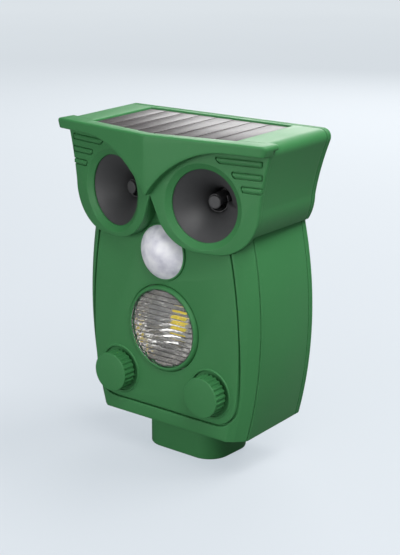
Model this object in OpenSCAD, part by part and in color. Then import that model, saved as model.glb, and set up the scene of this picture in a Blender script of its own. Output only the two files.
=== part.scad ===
// Solar ultrasonic pest repeller in the form of an owl, for a garden stake or a wall screw.
// Millimetres. +Z up, the front faces -Y, +X is to the viewer's right.
// The origin is the centre of the stake socket's lower face.

/* [Overall] */
// Width of the head over the brow, tip to tip
head_w = 130; // [124:1:160]
// Widest width of the body
body_w = 109.5; // [104:0.5:132]
// Depth from the front face to the back of the rear cover
case_d = 50.4; // [50:0.1:62]
// Height of the body from its underside to the head's underside
body_h = 104; // [96:1:126]
// Height of the head at the brow, over its underside
head_h = 44.2; // [44:0.1:54]
// Height of the stake socket below the body
socket_h = 19; // [14:1:24]

/* [Case] */
// Wall of the moulded shells
wall = 2.4; // [1.6:0.1:3]
// Radius of the body's bowed sides
side_r = 205; // [190:5:400]
// Height of the widest level above the body's underside
bow_up = 56; // [44:1:60]
// Depth of the seam between the front frame and the body shell
frame_d = 8.05; // [7:0.05:10]
// Depth of the edge where the frame's chamfer starts
crease_d = 3.3; // [2.6:0.1:4.5]
// Width of the frame's side chamfer
chamfer_w = 4.75; // [3:0.25:6]
// Width of the frame's soft shoulder inside the chamfer
shoulder_w = 3.4; // [2.6:0.1:4]
// Depth of the rear cover's rim
rear_rim = 4.1; // [3.4:0.1:6]
// Screw pilot radius in the case bosses
pilot_r = 1.6; // [1.4:0.1:2]

/* [Front panel] */
// Depth of the front panel behind the lens rim's plane
panel_d = 0.75; // [0.4:0.05:1.2]
// Thickness of the front panel
panel_t = 2; // [1.6:0.1:3]
// Widest width of the front panel
panel_w = 92.4; // [86:0.2:93]
// Height of the panel's lower edge above the body's underside
panel_up = 7.8; // [6:0.1:12]
// Radius of the panel's bowed sides
panel_side_r = 240; // [200:10:400]
// Radius of the panel's lower corners
panel_corner = 13; // [8:1:16]
// Width of the groove round the panel
groove = 0.6; // [0.4:0.1:1]

/* [Head] */
// Yaw of each eye plane, outwards
eye_yaw = 9.7; // [6:0.1:12]
// Distance between the centres of the eyes
eye_gap = 57.5; // [54:0.5:64]
// Height of the eye centres above the head's underside
eye_up = 11.9; // [10:0.1:14]
// Radius of the horn mouths
mouth_r = 17.5; // [14:0.5:19]
// Depth of the bevel round each mouth
bevel_d = 1.9; // [1:0.1:2.4]
// Width of the bevel round each mouth
bevel_w = 2.7; // [1.5:0.1:3]
// Thickness of the eye plate
plate_t = 2.6; // [2.4:0.1:3.4]
// How far the nose of the eye plate stands in front of the front face
plate_out = 8.5; // [7:0.1:11]
// How far the brow overhangs the eye plate
brow_out = 4.15; // [2:0.05:6]
// Radius of the brow's lower arch over each eye
brow_r = 54; // [50:1:60]
// Height of the brow at its outer ends
brow_end_h = 5; // [3:0.5:8]
// Radius of the lobe under each eye
lobe_r = 23; // [21:0.5:25]
// Radius of the head's hollow sides
flare_r = 160; // [120:5:260]
// Rise of the top from the brow to the back, in degrees
top_tilt = 1.43; // [0:0.01:4]
// Taper of the sides towards the back, in degrees
side_taper = 1.2; // [0:0.05:4]

/* [Solar panel] */
// Width of the solar recess
solar_w = 89; // [70:1:100]
// Depth of the recess below the top
solar_sink = 2.2; // [1.6:0.1:3]
// Number of cell strips
solar_strips = 8; // [4:1:12]
// Gap between strips
solar_gap = 1.1; // [0.6:0.1:2]

/* [Lamp, sensor and controls] */
// Radius of the strobe lens
lens_r = 19.8; // [16:0.2:21]
// Height of the lens centre above the body's underside
lens_up = 50; // [48:1:52]
// Width of the lens ring
ring_w = 2.3; // [1.6:0.1:3]
// Radius of the sensor dome's rim
dome_r = 13.4; // [10:0.1:14]
// Height of the sensor's centre above the lens's centre
dome_up = 38.8; // [38:0.1:41]
// Height of the dome in front of its ring
dome_h = 5.8; // [4:0.1:8]
// Radius of the knobs
knob_r = 10.1; // [8:0.1:11]
// How far the knobs stand in front of the face
knob_out = 7.05; // [5.5:0.05:10]
// Distance between the knobs
knob_gap = 58.4; // [56:0.2:61]
// Drop of the knobs below the lens centre
knob_down = 27.3; // [26:0.1:28]
// Notches round each knob
knob_notches = 24; // [12:2:36]
// Radius of the control shafts
shaft_r = 3; // [2:0.5:3.5]
// Running clearance of a shaft in its bush
shaft_gap = 0.05; // [0.02:0.01:0.09]

/* [Stake socket] */
// Width of the socket block
socket_w = 46.8; // [36:0.2:56]
// Depth of the socket block
socket_d = 34.4; // [28:0.2:40]
// Corner radius of the socket block
socket_corner = 11.4; // [6:0.2:14]
// Radius of the stake bore
stake_r = 10; // [6:0.5:12]
// Depth of the stake bore
stake_d = 26; // [18:1:28]

/* [Rear fittings] */
// Width of the battery door
door_w = 62; // [56:1:68]
// Height of the battery door
door_h = 54; // [50:1:58]
// Height of the battery door's lower edge above the body's underside
door_up = 11; // [10:1:14]
// Clearance round moving parts
gap = 0.35; // [0.25:0.05:0.6]
// Height of the switch and the charging socket above the body's underside
port_up = 78; // [76:1:82]
// Distance between the switch and the charging socket
port_gap = 44; // [36:1:60]
// Travel of the power switch
switch_travel = 3; // [2:0.5:4]
// Radius of the wall screw's shank in the keyhole
hook_r = 2.2; // [1.6:0.1:2.6]
// Radius of the keyhole's entry
hook_entry_r = 4.4; // [3.4:0.1:5]

/* [Cells] */
// Radius of a rechargeable cell
cell_r = 7.2; // [5:0.1:7.3]
// Length of a cell
cell_l = 50; // [44:0.5:52]

/* [Hidden] */
$fn = 96;
e = 0.01;
big = 200;

green = "#407a4c";
dark_green = "#2f5c39";
black = "#2d2d30";
metal = "#b9bcc0";

// Levels and planes
front_y = -(10.8 + socket_d / 2);
body_z = socket_h;
head_z = body_z + body_h;
top_z = head_z + head_h;
lens_z = body_z + lens_up;
dome_z = lens_z + dome_up;
knob_z = lens_z - knob_down;
knob_x = knob_gap / 2;
bow_z = body_z + bow_up;
cover_d = case_d - rear_rim;
inner_back = case_d - wall;
eye_z = head_z + eye_up;
eye_x = eye_gap / 2;
yaw_run = tan(eye_yaw);
back_d = panel_d + panel_t;

// Lobe under each eye, between two circles
lobe_in_x = lobe_r + 2.5;
lobe_out_x = head_w / 2 - 7.7 - lobe_r;
lobe_z = eye_z + 0.6;
nose_z = eye_z + 2.5;
nose_turn = 90 - asin(lobe_r / norm([lobe_in_x, nose_z - lobe_z]))
    - atan2(nose_z - lobe_z, lobe_in_x);

// Side profile of the head: a hollow arc from the top corner to the lobe's side
side_top = [head_w / 2 - 0.8, top_z];
side_foot = [lobe_out_x + lobe_r, lobe_z];
half_chord = norm(side_top - side_foot) / 2;
chord_out = [side_top.y - side_foot.y, side_foot.x - side_top.x] / (2 * half_chord);
flare_c = (side_top + side_foot) / 2 + chord_out * sqrt(pow(flare_r, 2) - pow(half_chord, 2));

// Brow arch: a circle through the nose point and tangent to the brow's end height
brow_end_z = top_z - brow_end_h;
brow_cz = brow_end_z - brow_r;
brow_cx = sqrt(pow(brow_r, 2) - pow(nose_z - brow_cz, 2));

// Horns, along each eye's axis from the mouth backwards
horn_wall = 1.2;
horn_l = 24;
throat_r = 5.5;
driver_r = 12.5;
driver_l = 9;
horn_room = mouth_r + horn_wall + 0.6;

// Solar panel
solar_back = cover_d - 2.2;
solar_nose = -plate_out + 1.5;
board_thick = 1.6;
strip_w = (solar_w - 3 - solar_gap * (solar_strips - 1)) / solar_strips;

// Sensor can behind the dome, and its board
can_r = 4.1;
can_d = [5.5, 9.5];
can_flange_r = 4.6;
can_flange_back = 10.2;
sensor_board = [22, 16];
sensor_board_t = 1.6;

// Lamp
ring_out = lens_r + ring_w;
lamp_depth = 11;
lamp_back = back_d + lamp_depth;
lamp_board_r = 16;
lamp_board_t = 1.5;
led_w = 4.2;
led_pitch = 4.8;
led_hole_r = 6.6;
led_bulb_r = 0.95;
lens_bars = 15;
lens_groove = 0.7;

// Control bodies behind the panel
bush_r = shaft_r + 1.2;
control_w = 17;
control_d = 9;
nut_r = 6.2;
nut_h = 1.9;
shaft_in = back_d + 6;
knob_lip = 0.5;
notch_r = 0.75;
notch_out = 0.35;
knob_cap = 2;
tag_w = 1.2;
tag_l = 2.6;
tag_pitch = 5;

// Electronics
board_d = 24.5;
board_w = 78;
board_h = 50;
board_z = body_z + 24;
pillar_r = 3;
pillar_x = board_w / 2 - 6;
pillar_inset = 6;

// Batteries, stacked three high against the rear cover
cell_count = 3;
cell_pitch = 2 * cell_r + 0.8;
holder_wall = 1.2;
holder_w = cell_l + 8;
holder_h = cell_count * cell_pitch + 2 * holder_wall;
holder_back = case_d - 3;
holder_front = holder_back - 2 * cell_r - 1.6;
holder_z = body_z + door_up + (door_h - holder_h) / 2;
cell_y = holder_back - cell_r - 0.3;

// Case screws: two in the body's lower corners, two in the head
screw_r = 1.5;
screw_head_r = 3;
screw_head_h = 2;
boss_r = 4.2;
low_boss = [body_w / 2 - 14.5, body_z + 11];
high_boss = [head_w / 2 - 11.5, top_z - 15];
boss_in = 14;

// Door and flap hinges
pin_r = 0.6;
pin_l = 5;
flap_pin_r = 0.35;
door_t = 1.8;
door_sink = 0.2;
door_z = body_z + door_up;
pin_up = 2;
door_pin_z = door_z + pin_up;
door_pin_d = case_d - door_t / 2 - door_sink;

// Finger grip near the top of the battery door
grip_ribs = 3;
grip_pitch = 4;
grip_h = 1.6;
grip_w = 18;
grip_down = 8;

// Switch and charging socket
port_z = body_z + port_up;
port_x = port_gap / 2;
slot_w = 5;
slot_h = slot_w + switch_travel + 1;
flap_w = 15;
flap_h = 10;
flap_t = 1.2;
flap_pin_d = case_d - flap_t / 2 - gap;
flap_pin_z = port_z + flap_h / 2 - 0.8;
usb_w = 9.6;
usb_h = 5.2;

function at(d) = front_y + d;

// ---- helpers ----------------------------------------------------------------

// Extrudes a front view, drawn in X and Z, between two depths behind the front face
module slab(d0, d1) {
    translate([0, at(d1), 0])
        rotate([90, 0, 0])
            linear_extrude(d1 - d0)
                children();
}

// Cylinder that runs backwards from depth d0 to depth d1
module rod(x, z, r, d0, d1) {
    translate([x, at(d1), z])
        rotate([90, 0, 0])
            cylinder(h = d1 - d0, r = r);
}

// Box between two depths, centred on x, standing on z
module block(x, z, w, h, d0, d1) {
    translate([x - w / 2, at(d0), z])
        cube([w, d1 - d0, h]);
}

// Everything between two V-shaped fronts that follow the eye planes
module v_band(d0, d1) {
    translate([0, 0, -e])
        linear_extrude(top_z + big)
            polygon([[-big, at(d0) + big * yaw_run], [0, at(d0)], [big, at(d0) + big * yaw_run],
                [big, at(d1) + big * yaw_run], [0, at(d1)], [-big, at(d1) + big * yaw_run]]);
}

// Everything behind a V-shaped front
module v_behind(d0) {
    translate([0, 0, -e])
        linear_extrude(top_z + big)
            polygon([[-big, at(d0) + big * yaw_run], [0, at(d0)], [big, at(d0) + big * yaw_run],
                [big, at(3 * big)], [-big, at(3 * big)]]);
}

// Places what is drawn along +Z from the mouth onto one eye's axis, running backwards
module eye_axis(side) {
    mirror([side < 0 ? 1 : 0, 0, 0])
        translate([0, at(-plate_out), 0])
            rotate([0, 0, eye_yaw])
                translate([eye_x, 0, eye_z])
                    rotate([-90, 0, 0])
                        children();
}

// Puts a plan drawing on the sloping top, at a height above it
module on_top(h) {
    translate([0, at(0), top_z])
        rotate([top_tilt, 0, 0])
            translate([0, -at(0), h])
                children();
}

module both_sides() {
    for (side = [0, 1])
        mirror([side, 0, 0])
            children();
}

// ---- outlines ---------------------------------------------------------------

// Body with bowed sides and flat ends
module body_outline(inset) {
    intersection() {
        side_circle(body_w / 2, side_r, bow_z, inset);
        mirror([1, 0])
            side_circle(body_w / 2, side_r, bow_z, inset);
        translate([-big, body_z + inset])
            square([2 * big, body_h - inset]);
    }
}

module side_circle(half_w, r, z, inset) {
    translate([half_w - r, z])
        circle(r - inset, $fn = 360);
}

// Front panel with bowed sides and rounded lower corners
module panel_outline(grow) {
    offset(r = panel_corner + grow)
        offset(delta = -panel_corner)
            intersection() {
                side_circle(panel_w / 2, panel_side_r, lens_z - 6, 0);
                mirror([1, 0])
                    side_circle(panel_w / 2, panel_side_r, lens_z - 6, 0);
                translate([-big, body_z + panel_up])
                    square([2 * big, body_h]);
            }
}

// One lobe: the rounded shape under and round an eye
module lobe(inset) {
    hull() {
        translate([lobe_in_x, lobe_z])
            circle(lobe_r - inset, $fn = 64);
        translate([lobe_out_x, lobe_z])
            circle(lobe_r - inset, $fn = 64);
    }
}

// Face of the head: both lobes, the block above them and the notch of the nose between them
module face_outline(inset) {
    r = lobe_r - inset;
    touch = [lobe_in_x - r * cos(nose_turn), lobe_z - r * sin(nose_turn)];
    foot = touch + [sin(nose_turn), -cos(nose_turn)];
    difference() {
        union() {
            both_sides()
                lobe(inset);
            translate([-lobe_in_x, touch.y])
                square([2 * lobe_in_x, lobe_z - touch.y]);
            translate([-big / 2, lobe_z])
                square([big, top_z + 8 - lobe_z]);
        }
        polygon([[0, touch.y + touch.x / tan(nose_turn)], foot, [-foot.x, foot.y]]);
    }
}

// What is cut away at the right of the head's side profile
module side_cut(inset) {
    intersection() {
        translate(flare_c)
            circle(flare_r + inset, $fn = 360);
        translate([0, lobe_z])
            square([2 * big, big]);
    }
    difference() {
        translate([lobe_out_x, head_z - lobe_r])
            square([big, lobe_z - head_z + lobe_r]);
        translate([lobe_out_x, lobe_z])
            circle(lobe_r - inset);
    }
}

// Tapered sides and sloping top, taken off whatever is drawn inside
module head_trim(inset, drop) {
    difference() {
        children();
        both_sides()
            translate([head_w / 2, at(0), 0])
                rotate([0, 0, side_taper])
                    translate([-head_w / 2, -at(0), 0])
                        slab(-big / 2, big)
                            side_cut(inset);
        on_top(-drop)
            translate([-big, -big, 0])
                cube([2 * big, 2 * big, big]);
    }
}

module head_block(d0, d1, inset, drop) {
    head_trim(inset, drop)
        slab(d0, d1)
            translate([-big / 2, head_z + inset])
                square([big, head_h + 10]);
}

// Solid that the lower face of the brow bounds
module brow_outline() {
    difference() {
        translate([-head_w / 2, nose_z - 8])
            square([head_w, top_z - nose_z + 16]);
        both_sides() {
            translate([brow_cx, brow_cz])
                circle(brow_r, $fn = 180);
            translate([brow_cx, 0])
                square([big, brow_end_z]);
            translate([-e, 0])
                square([brow_cx, nose_z]);
        }
    }
}

// Plan of the solar recess, with its front following the brow
module solar_plan(inset) {
    half = solar_w / 2 - inset;
    polygon([[0, at(solar_nose) + inset], [half, at(solar_nose) + inset + half * yaw_run],
        [half, at(solar_back) - inset], [-half, at(solar_back) - inset],
        [-half, at(solar_nose) + inset + half * yaw_run]]);
}

// Rounded bar, drawn in X and Z
module bar2d(x0, x1, z, h) {
    translate([x0 + h / 2, z])
        circle(h / 2, $fn = 32);
    translate([x0 + h / 2, z - h / 2])
        square([x1 - x0 - h / 2, h]);
}

// ---- case -------------------------------------------------------------------

module front_panel() {
    color(green)
        difference() {
            union() {
                intersection() {
                    slab(panel_d, back_d)
                        panel_outline(0);
                    block(0, 0, big, head_z, -1, big);
                }
                for (x = [-knob_x, knob_x])
                    difference() {
                        rod(x, knob_z, knob_r + 2, 0.45, panel_d + e);
                        rod(x, knob_z, knob_r + 1, 0.45 - e, panel_d + 2 * e);
                    }
            }
            rod(0, lens_z, ring_out, -1, big);
            rod(0, dome_z, dome_r + 0.9, -1, big);
            for (x = [-knob_x, knob_x])
                rod(x, knob_z, bush_r + 0.1, -1, big);
            horn_clearance();
            plate_clearance();
        }
}

// Room for the back of the eye plate in the upper edge of the body
module plate_clearance() {
    intersection() {
        v_band(-plate_out, -plate_out + plate_t + 0.2);
        slab(-big / 2, big)
            face_outline(-0.2);
    }
}

// Room for both horns in the upper edge of the body
module horn_clearance() {
    for (side = [-1, 1])
        eye_axis(side)
            translate([0, 0, -5])
                cylinder(h = horn_l + driver_l + 8, r = horn_room);
}

// Revolved side of the frame, with its shoulder and its chamfer
module frame_disc() {
    translate([body_w / 2 - side_r, at(0), bow_z])
        rotate([-90, 0, 0])
            rotate_extrude($fn = 360)
                polygon([[0, panel_d], [side_r - chamfer_w - shoulder_w, panel_d],
                    [side_r - chamfer_w, crease_d], [side_r, frame_d], [0, frame_d]]);
}

module front_frame() {
    color(green)
        difference() {
            intersection() {
                frame_disc();
                mirror([1, 0, 0])
                    frame_disc();
                block(0, body_z, big, body_h, -1, big);
            }
            slab(-1, back_d)
                panel_outline(groove);
            slab(back_d - e, frame_d + 1)
                panel_outline(-3);
            horn_clearance();
            plate_clearance();
        }
}

module body_shell() {
    color(green)
        difference() {
            union() {
                difference() {
                    slab(frame_d, cover_d)
                        body_outline(0);
                    slab(frame_d - 1, cover_d + 1)
                        translate([0, e])
                            body_outline(wall);
                    translate([0, 0, wall])
                        slab(frame_d - 1, cover_d + 1)
                            body_outline(wall);
                }
                both_sides() {
                    rod(low_boss.x, low_boss.y, boss_r, boss_in, cover_d);
                    block(low_boss.x, body_z + wall - e, 2, low_boss.y - body_z - wall, boss_in, cover_d - 2);
                }
                both_sides()
                    block(pillar_x, body_z + wall - e, 2 * pillar_r, board_z - body_z - wall + pillar_inset,
                        board_d + board_thick, board_d + board_thick + 4);
            }
            both_sides()
                rod(low_boss.x, low_boss.y, pilot_r, boss_in + 4, cover_d + 1);
            both_sides()
                rod(pillar_x, board_z + pillar_inset - pillar_r, 1.1, board_d, board_d + board_thick + 5);
            translate([0, 0, -e])
                cylinder(h = big / 2, r = stake_r + 3.1);
            horn_clearance();
        }
}

module head_shell() {
    color(green)
        difference() {
            union() {
                intersection() {
                    v_behind(-plate_out + plate_t);
                    union() {
                        head_trim(0, 0)
                            slab(-plate_out - 1, panel_d)
                                face_outline(0);
                        head_block(panel_d, cover_d, 0, 0);
                    }
                }
                head_trim(-0.8, 0)
                    intersection() {
                        v_band(-plate_out - brow_out, -plate_out);
                        slab(-big / 2, big)
                            brow_outline();
                    }
                head_trim(0, 0)
                    intersection() {
                        v_band(-plate_out - e, -plate_out + plate_t + e);
                        translate([-big / 2, at(-big / 2), top_z - wall])
                            cube([big, big, big]);
                    }
            }
            difference() {
                intersection() {
                    v_behind(-plate_out + plate_t - e);
                    union() {
                        head_trim(wall, solar_sink + wall)
                            slab(-plate_out - 1, panel_d + wall + e)
                                face_outline(wall);
                        head_block(panel_d + wall, cover_d + 1, wall, solar_sink + wall);
                    }
                }
                both_sides()
                    rod(high_boss.x, high_boss.y, boss_r, boss_in + 6, cover_d + 2);
            }
            both_sides()
                rod(high_boss.x, high_boss.y, pilot_r, boss_in + 10, cover_d + 2);
            on_top(-solar_sink)
                linear_extrude(big)
                    solar_plan(0);
            translate([-8, at(cover_d - 12), head_z - 1])
                cube([16, 8, wall + 2]);
            translate([-4, at(cover_d - 9), top_z - 12])
                cube([8, 4, 20]);
            horn_clearance_behind();
        }
}

// The horns pass through the head's floor behind the front panel
module horn_clearance_behind() {
    intersection() {
        horn_clearance();
        block(0, head_z - 5, big, 2 * wall + 5, panel_d, big);
    }
}

module eye_plate() {
    color(green)
        difference() {
            union() {
                difference() {
                    head_trim(0, wall + 0.2)
                        intersection() {
                            v_band(-plate_out, -plate_out + plate_t);
                            slab(-big / 2, big)
                                face_outline(0);
                        }
                    feathers(0.55, -0.9);
                }
                intersection() {
                    feathers(0, -1.2);
                    v_behind(-plate_out - 0.5);
                }
            }
            for (side = [-1, 1])
                eye_axis(side) {
                    translate([0, 0, -2])
                        cylinder(h = plate_t + 4, r = mouth_r);
                    translate([0, 0, -e])
                        cylinder(h = bevel_d + e, r1 = mouth_r + bevel_w, r2 = mouth_r);
                }
        }
}

// Three feather bars at the outer side of each eye; they run into the plate by the depth given
module feathers(grow, sink) {
    rib = 2.2 + 2 * grow;
    pitch = 6.2;
    starts = [eye_x + 5.2, eye_x + 14.2, eye_x + 19.4];
    intersection() {
        both_sides()
            slab(-big / 2, big)
                for (i = [0:2])
                    bar2d(starts[i] - grow, head_w / 2 - 6.6 + grow, eye_z + 22.9 - i * pitch, rib);
        v_band(-plate_out - 0.5, -plate_out - sink);
    }
}

module rear_cover() {
    color(green)
        difference() {
            union() {
                slab(cover_d, case_d) {
                    body_outline(0);
                    translate([-solar_w / 2, head_z - wall])
                        square([solar_w, 2 * wall]);
                }
                head_block(cover_d, case_d, 0, 0);
            }
            difference() {
                union() {
                    slab(cover_d - 1, inner_back)
                        body_outline(wall);
                    head_block(cover_d - 1, inner_back, wall, wall);
                }
                screw_spots()
                    circle(boss_r);
            }
            screw_spots_through();
            block(0, door_z - gap, door_w + 2 * gap, door_h + 2 * gap, 0, big);
            both_sides()
                door_ear_cut();
            block(-port_x, port_z - slot_h / 2, slot_w + 2 * gap, slot_h, 0, big);
            block(port_x, port_z - usb_h / 2, usb_w, usb_h, 0, big);
            block(port_x, port_z - flap_h / 2 - gap, flap_w + 2 * gap, flap_h + 2 * gap,
                case_d - flap_t - 2 * gap, big);
            both_sides_of(port_x)
                flap_pin_cut();
            keyhole();
        }
}

module both_sides_of(x) {
    for (side = [-1, 1])
        translate([x, 0, 0])
            mirror([side < 0 ? 1 : 0, 0, 0])
                children();
}

// Places a rear view at each case screw, as solids over the rim's depth
module screw_spots() {
    both_sides()
        translate([0, at(inner_back + 1), 0])
            rotate([90, 0, 0])
                linear_extrude(rear_rim + 1)
                    translate(low_boss)
                        children();
    both_sides()
        translate([0, at(inner_back + 1), 0])
            rotate([90, 0, 0])
                linear_extrude(rear_rim + 1)
                    translate(high_boss)
                        children();
}

module screw_spots_through() {
    both_sides()
        for (p = [low_boss, high_boss]) {
            rod(p.x, p.y, screw_r + 0.3, cover_d - 1, case_d + 1);
            rod(p.x, p.y, screw_head_r + 0.3, case_d - screw_head_h - 0.3, case_d + 1);
        }
}

// Hole for a hinge pin of the battery door, in the cover's wall beside the door
module door_ear_cut() {
    translate([door_w / 2, at(door_pin_d), door_pin_z])
        rotate([0, 90, 0])
            cylinder(h = pin_l - 1, r = pin_r, $fn = 48);
}

module flap_pin_cut() {
    translate([flap_w / 2, at(flap_pin_d), flap_pin_z])
        rotate([0, 90, 0])
            cylinder(h = 2.5, r = flap_pin_r, $fn = 48);
}

// Hanger for a wall screw: a wide entry with a slot above it
module keyhole() {
    z = top_z - 16;
    slab(inner_back - 1, case_d + 1) {
        translate([0, z - 8])
            circle(hook_entry_r);
        translate([-hook_r, z - 8])
            square([2 * hook_r, 8]);
        translate([0, z])
            circle(hook_r);
    }
}

module stake_socket() {
    r = socket_corner;
    color(green)
        difference() {
            union() {
                linear_extrude(socket_h) {
                    square([socket_w - 2 * r, socket_d], center = true);
                    square([socket_w, socket_d - 2 * r], center = true);
                    for (sx = [-1, 1], sy = [-1, 1])
                        translate([sx * (socket_w / 2 - r), sy * (socket_d / 2 - r)])
                            circle(r);
                }
                cylinder(h = stake_d + 2, r = stake_r + 3);
            }
            translate([0, 0, -1])
                cylinder(h = stake_d + 1, r = stake_r);
        }
}

module case_seal() {
    color(black)
        slab(cover_d - 1.2, cover_d - 0.1)
            difference() {
                body_outline(wall + 0.05);
                body_outline(wall + 1.3);
            }
}

module case_screws() {
    color(metal)
        both_sides()
            for (p = [low_boss, high_boss])
                difference() {
                    union() {
                        rod(p.x, p.y, screw_head_r, case_d - screw_head_h - 0.3, case_d - 0.3);
                        rod(p.x, p.y, screw_r, case_d - 22, case_d - screw_head_h - 0.3 + e);
                    }
                    for (turn = [0, 90])
                        translate([p.x, at(case_d), p.y])
                            rotate([0, turn, 0])
                                cube([3.6, 2.4, 0.7], center = true);
                }
}

// ---- solar panel ------------------------------------------------------------

module solar_panel() {
    color("#6e6660")
        difference() {
            on_top(-solar_sink)
                linear_extrude(board_thick - 0.4)
                    solar_plan(0.3);
            translate([0, at(cover_d - 7), top_z])
                cylinder(h = 30, r = 1.6, center = true);
        }
}

module solar_cells() {
    first = -(solar_w - 3) / 2;
    color("#2b2a2c")
        on_top(-solar_sink + board_thick - 0.4)
            for (i = [0:solar_strips - 1])
                linear_extrude(0.4)
                    intersection() {
                        solar_plan(1.5);
                        translate([first + i * (strip_w + solar_gap), -big])
                            square([strip_w, 2 * big]);
                    }
}

// ---- horns ------------------------------------------------------------------

// The horn: a bell that narrows from the mouth to the throat, with a flange for its driver
module horn(side) {
    mouth = mouth_r + 0.2;
    belly = [mouth_r * 0.62, horn_l * 0.42];
    color(black)
        eye_axis(side)
            translate([0, 0, plate_t])
                rotate_extrude()
                    polygon([[mouth, 0], [mouth + horn_wall, 0], [mouth + horn_wall, 1.5],
                        [belly.x + horn_wall, belly.y], [throat_r + horn_wall, horn_l - 3],
                        [driver_r, horn_l - 3], [driver_r, horn_l - 1], [throat_r, horn_l - 1],
                        [throat_r, horn_l - 3], belly, [mouth - 0.9, 1.5]]);
}

// Phase plug: a hub in the bell, held by a web that turns round it
module horn_plug(side) {
    hub_s = horn_l * 0.42;
    color(black)
        eye_axis(side)
            translate([0, 0, plate_t]) {
                translate([0, 0, hub_s])
                    cylinder(h = horn_l - 3 - hub_s, r = 2.4);
                translate([0, 0, hub_s - 1])
                    cylinder(h = 1.2, r = 3.2);
                intersection() {
                    translate([-throat_r + 0.4, -0.6, hub_s + 4])
                        cube([throat_r - 0.4, 1.2, horn_l - 7 - hub_s]);
                    cylinder(h = horn_l, r = throat_r - 0.1);
                }
            }
}

module driver(side) {
    color("#3a3a3c")
        eye_axis(side)
            translate([0, 0, plate_t + horn_l - 1]) {
                cylinder(h = driver_l, r = driver_r - 0.5);
                translate([0, 0, driver_l - e])
                    cylinder(h = 1.2, r = driver_r - 4);
            }
}

// ---- sensor -----------------------------------------------------------------

module pir_dome() {
    sphere_r = (pow(dome_r, 2) + pow(dome_h, 2)) / (2 * dome_h);
    inner = sphere_r - 0.9;
    color("#f0eef2")
        difference() {
            union() {
                intersection() {
                    translate([0, at(sphere_r - dome_h), dome_z])
                        sphere(sphere_r, $fn = 120);
                    rod(0, dome_z, dome_r, -dome_h - 1, 0);
                }
                rod(0, dome_z, dome_r - 0.3, -e, back_d);
                rod(0, dome_z, dome_r + 1.6, back_d, back_d + 0.8);
            }
            intersection() {
                translate([0, at(sphere_r - dome_h), dome_z])
                    sphere(inner, $fn = 120);
                rod(0, dome_z, dome_r - 1.4, -dome_h - 1, e);
            }
            rod(0, dome_z, dome_r - 1.6, 0, back_d + 1);
        }
}

module pir_ring() {
    color(green)
        difference() {
            rod(0, dome_z, dome_r + 0.9, -0.2, back_d);
            rod(0, dome_z, dome_r - 0.2, 0, back_d + 1);
            rod(0, dome_z, dome_r + 0.02, -1, e);
        }
}

module pir_sensor() {
    color(metal) {
        rod(0, dome_z, can_r, can_d[0], can_d[1]);
        rod(0, dome_z, can_flange_r, can_d[1] - e, can_flange_back);
    }
    color("#2f6b3c")
        block(0, dome_z - sensor_board.y / 2, sensor_board.x, sensor_board.y, can_flange_back,
            can_flange_back + sensor_board_t);
}

// ---- strobe lamp ------------------------------------------------------------

module lens_ring() {
    color(green)
        difference() {
            rod(0, lens_z, ring_out - 0.25, -0.8, back_d);
            rod(0, lens_z, lens_r, -1, back_d - 1.2);
            rod(0, lens_z, lens_r - 1.4, -1, back_d + 1);
        }
}

module strobe_lens() {
    pitch = 2 * (lens_r - 1.5) / lens_bars;
    color("#dcdcd6", 0.5)
        difference() {
            rod(0, lens_z, lens_r - 0.1, -0.2, back_d - 1.2);
            slab(-1, 0.3)
                for (i = [1:lens_bars - 1])
                    translate([-lens_r, lens_z - lens_r + 1.5 + i * pitch - lens_groove / 2])
                        square([2 * lens_r, lens_groove]);
        }
}

module reflector() {
    color("#cfd1d3")
        translate([0, at(back_d), lens_z])
            rotate([-90, 0, 0])
                rotate_extrude()
                    polygon([[lens_r - 1.5, 0], [lens_r + 2.4, 0.1], [lens_r + 2.4, 1.2],
                        [lens_r - 0.4, 1.2], [10.4, lamp_depth], [led_hole_r, lamp_depth],
                        [led_hole_r, lamp_depth - 1], [9.4, lamp_depth - 1]]);
}

module strobe_board() {
    color("#e6e6e2")
        rod(0, lens_z, lamp_board_r, lamp_back, lamp_back + lamp_board_t);
}

module strobe_leds() {
    color("#f3d24a")
        for (x = [-0.5, 0.5] * led_pitch, z = [-0.5, 0.5] * led_pitch) {
            block(x, lens_z + z - led_w / 2, led_w, led_w, lamp_back - 1, lamp_back);
            translate([x, at(lamp_back - 1), lens_z + z])
                sphere(led_bulb_r, $fn = 32);
        }
}

// ---- controls ---------------------------------------------------------------

module knob(x) {
    color(green)
        difference() {
            union() {
                rod(x, knob_z, knob_r, -knob_out + knob_lip, panel_d - gap);
                rod(x, knob_z, knob_r - knob_lip, -knob_out, panel_d - gap);
            }
            for (i = [0:knob_notches - 1])
                rod(x + (knob_r + notch_out) * cos(360 * i / knob_notches),
                    knob_z + (knob_r + notch_out) * sin(360 * i / knob_notches), notch_r,
                    -knob_out - 1, panel_d);
            rod(x, knob_z, nut_r + 0.9, -nut_h - 1.2, panel_d);
            rod(x, knob_z, shaft_r, -knob_out + knob_cap, 0);
        }
}

module shaft(x) {
    color(metal)
        rod(x, knob_z, shaft_r, -knob_out + knob_cap, shaft_in);
}

module control(x) {
    color("#3c5a7a")
        difference() {
            union() {
                rod(x, knob_z, bush_r, panel_d - nut_h, back_d + e);
                block(x, knob_z - control_w / 2, control_w, control_w, back_d, back_d + control_d);
            }
            rod(x, knob_z, shaft_r + shaft_gap, -big, shaft_in + gap);
        }
    color(metal)
        for (i = [-1:1])
            block(x + i * tag_pitch, knob_z - control_w / 2 - tag_l, tag_w, tag_l, back_d + 4, back_d + 4.6);
}

module control_nuts() {
    color(metal)
        for (x = [-knob_x, knob_x])
            difference() {
                translate([x, at(panel_d), knob_z])
                    rotate([90, 0, 0])
                        cylinder(h = nut_h, r = nut_r, $fn = 6);
                rod(x, knob_z, bush_r, -nut_h - 2, panel_d + 1);
            }
}

// ---- electronics ------------------------------------------------------------

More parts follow.
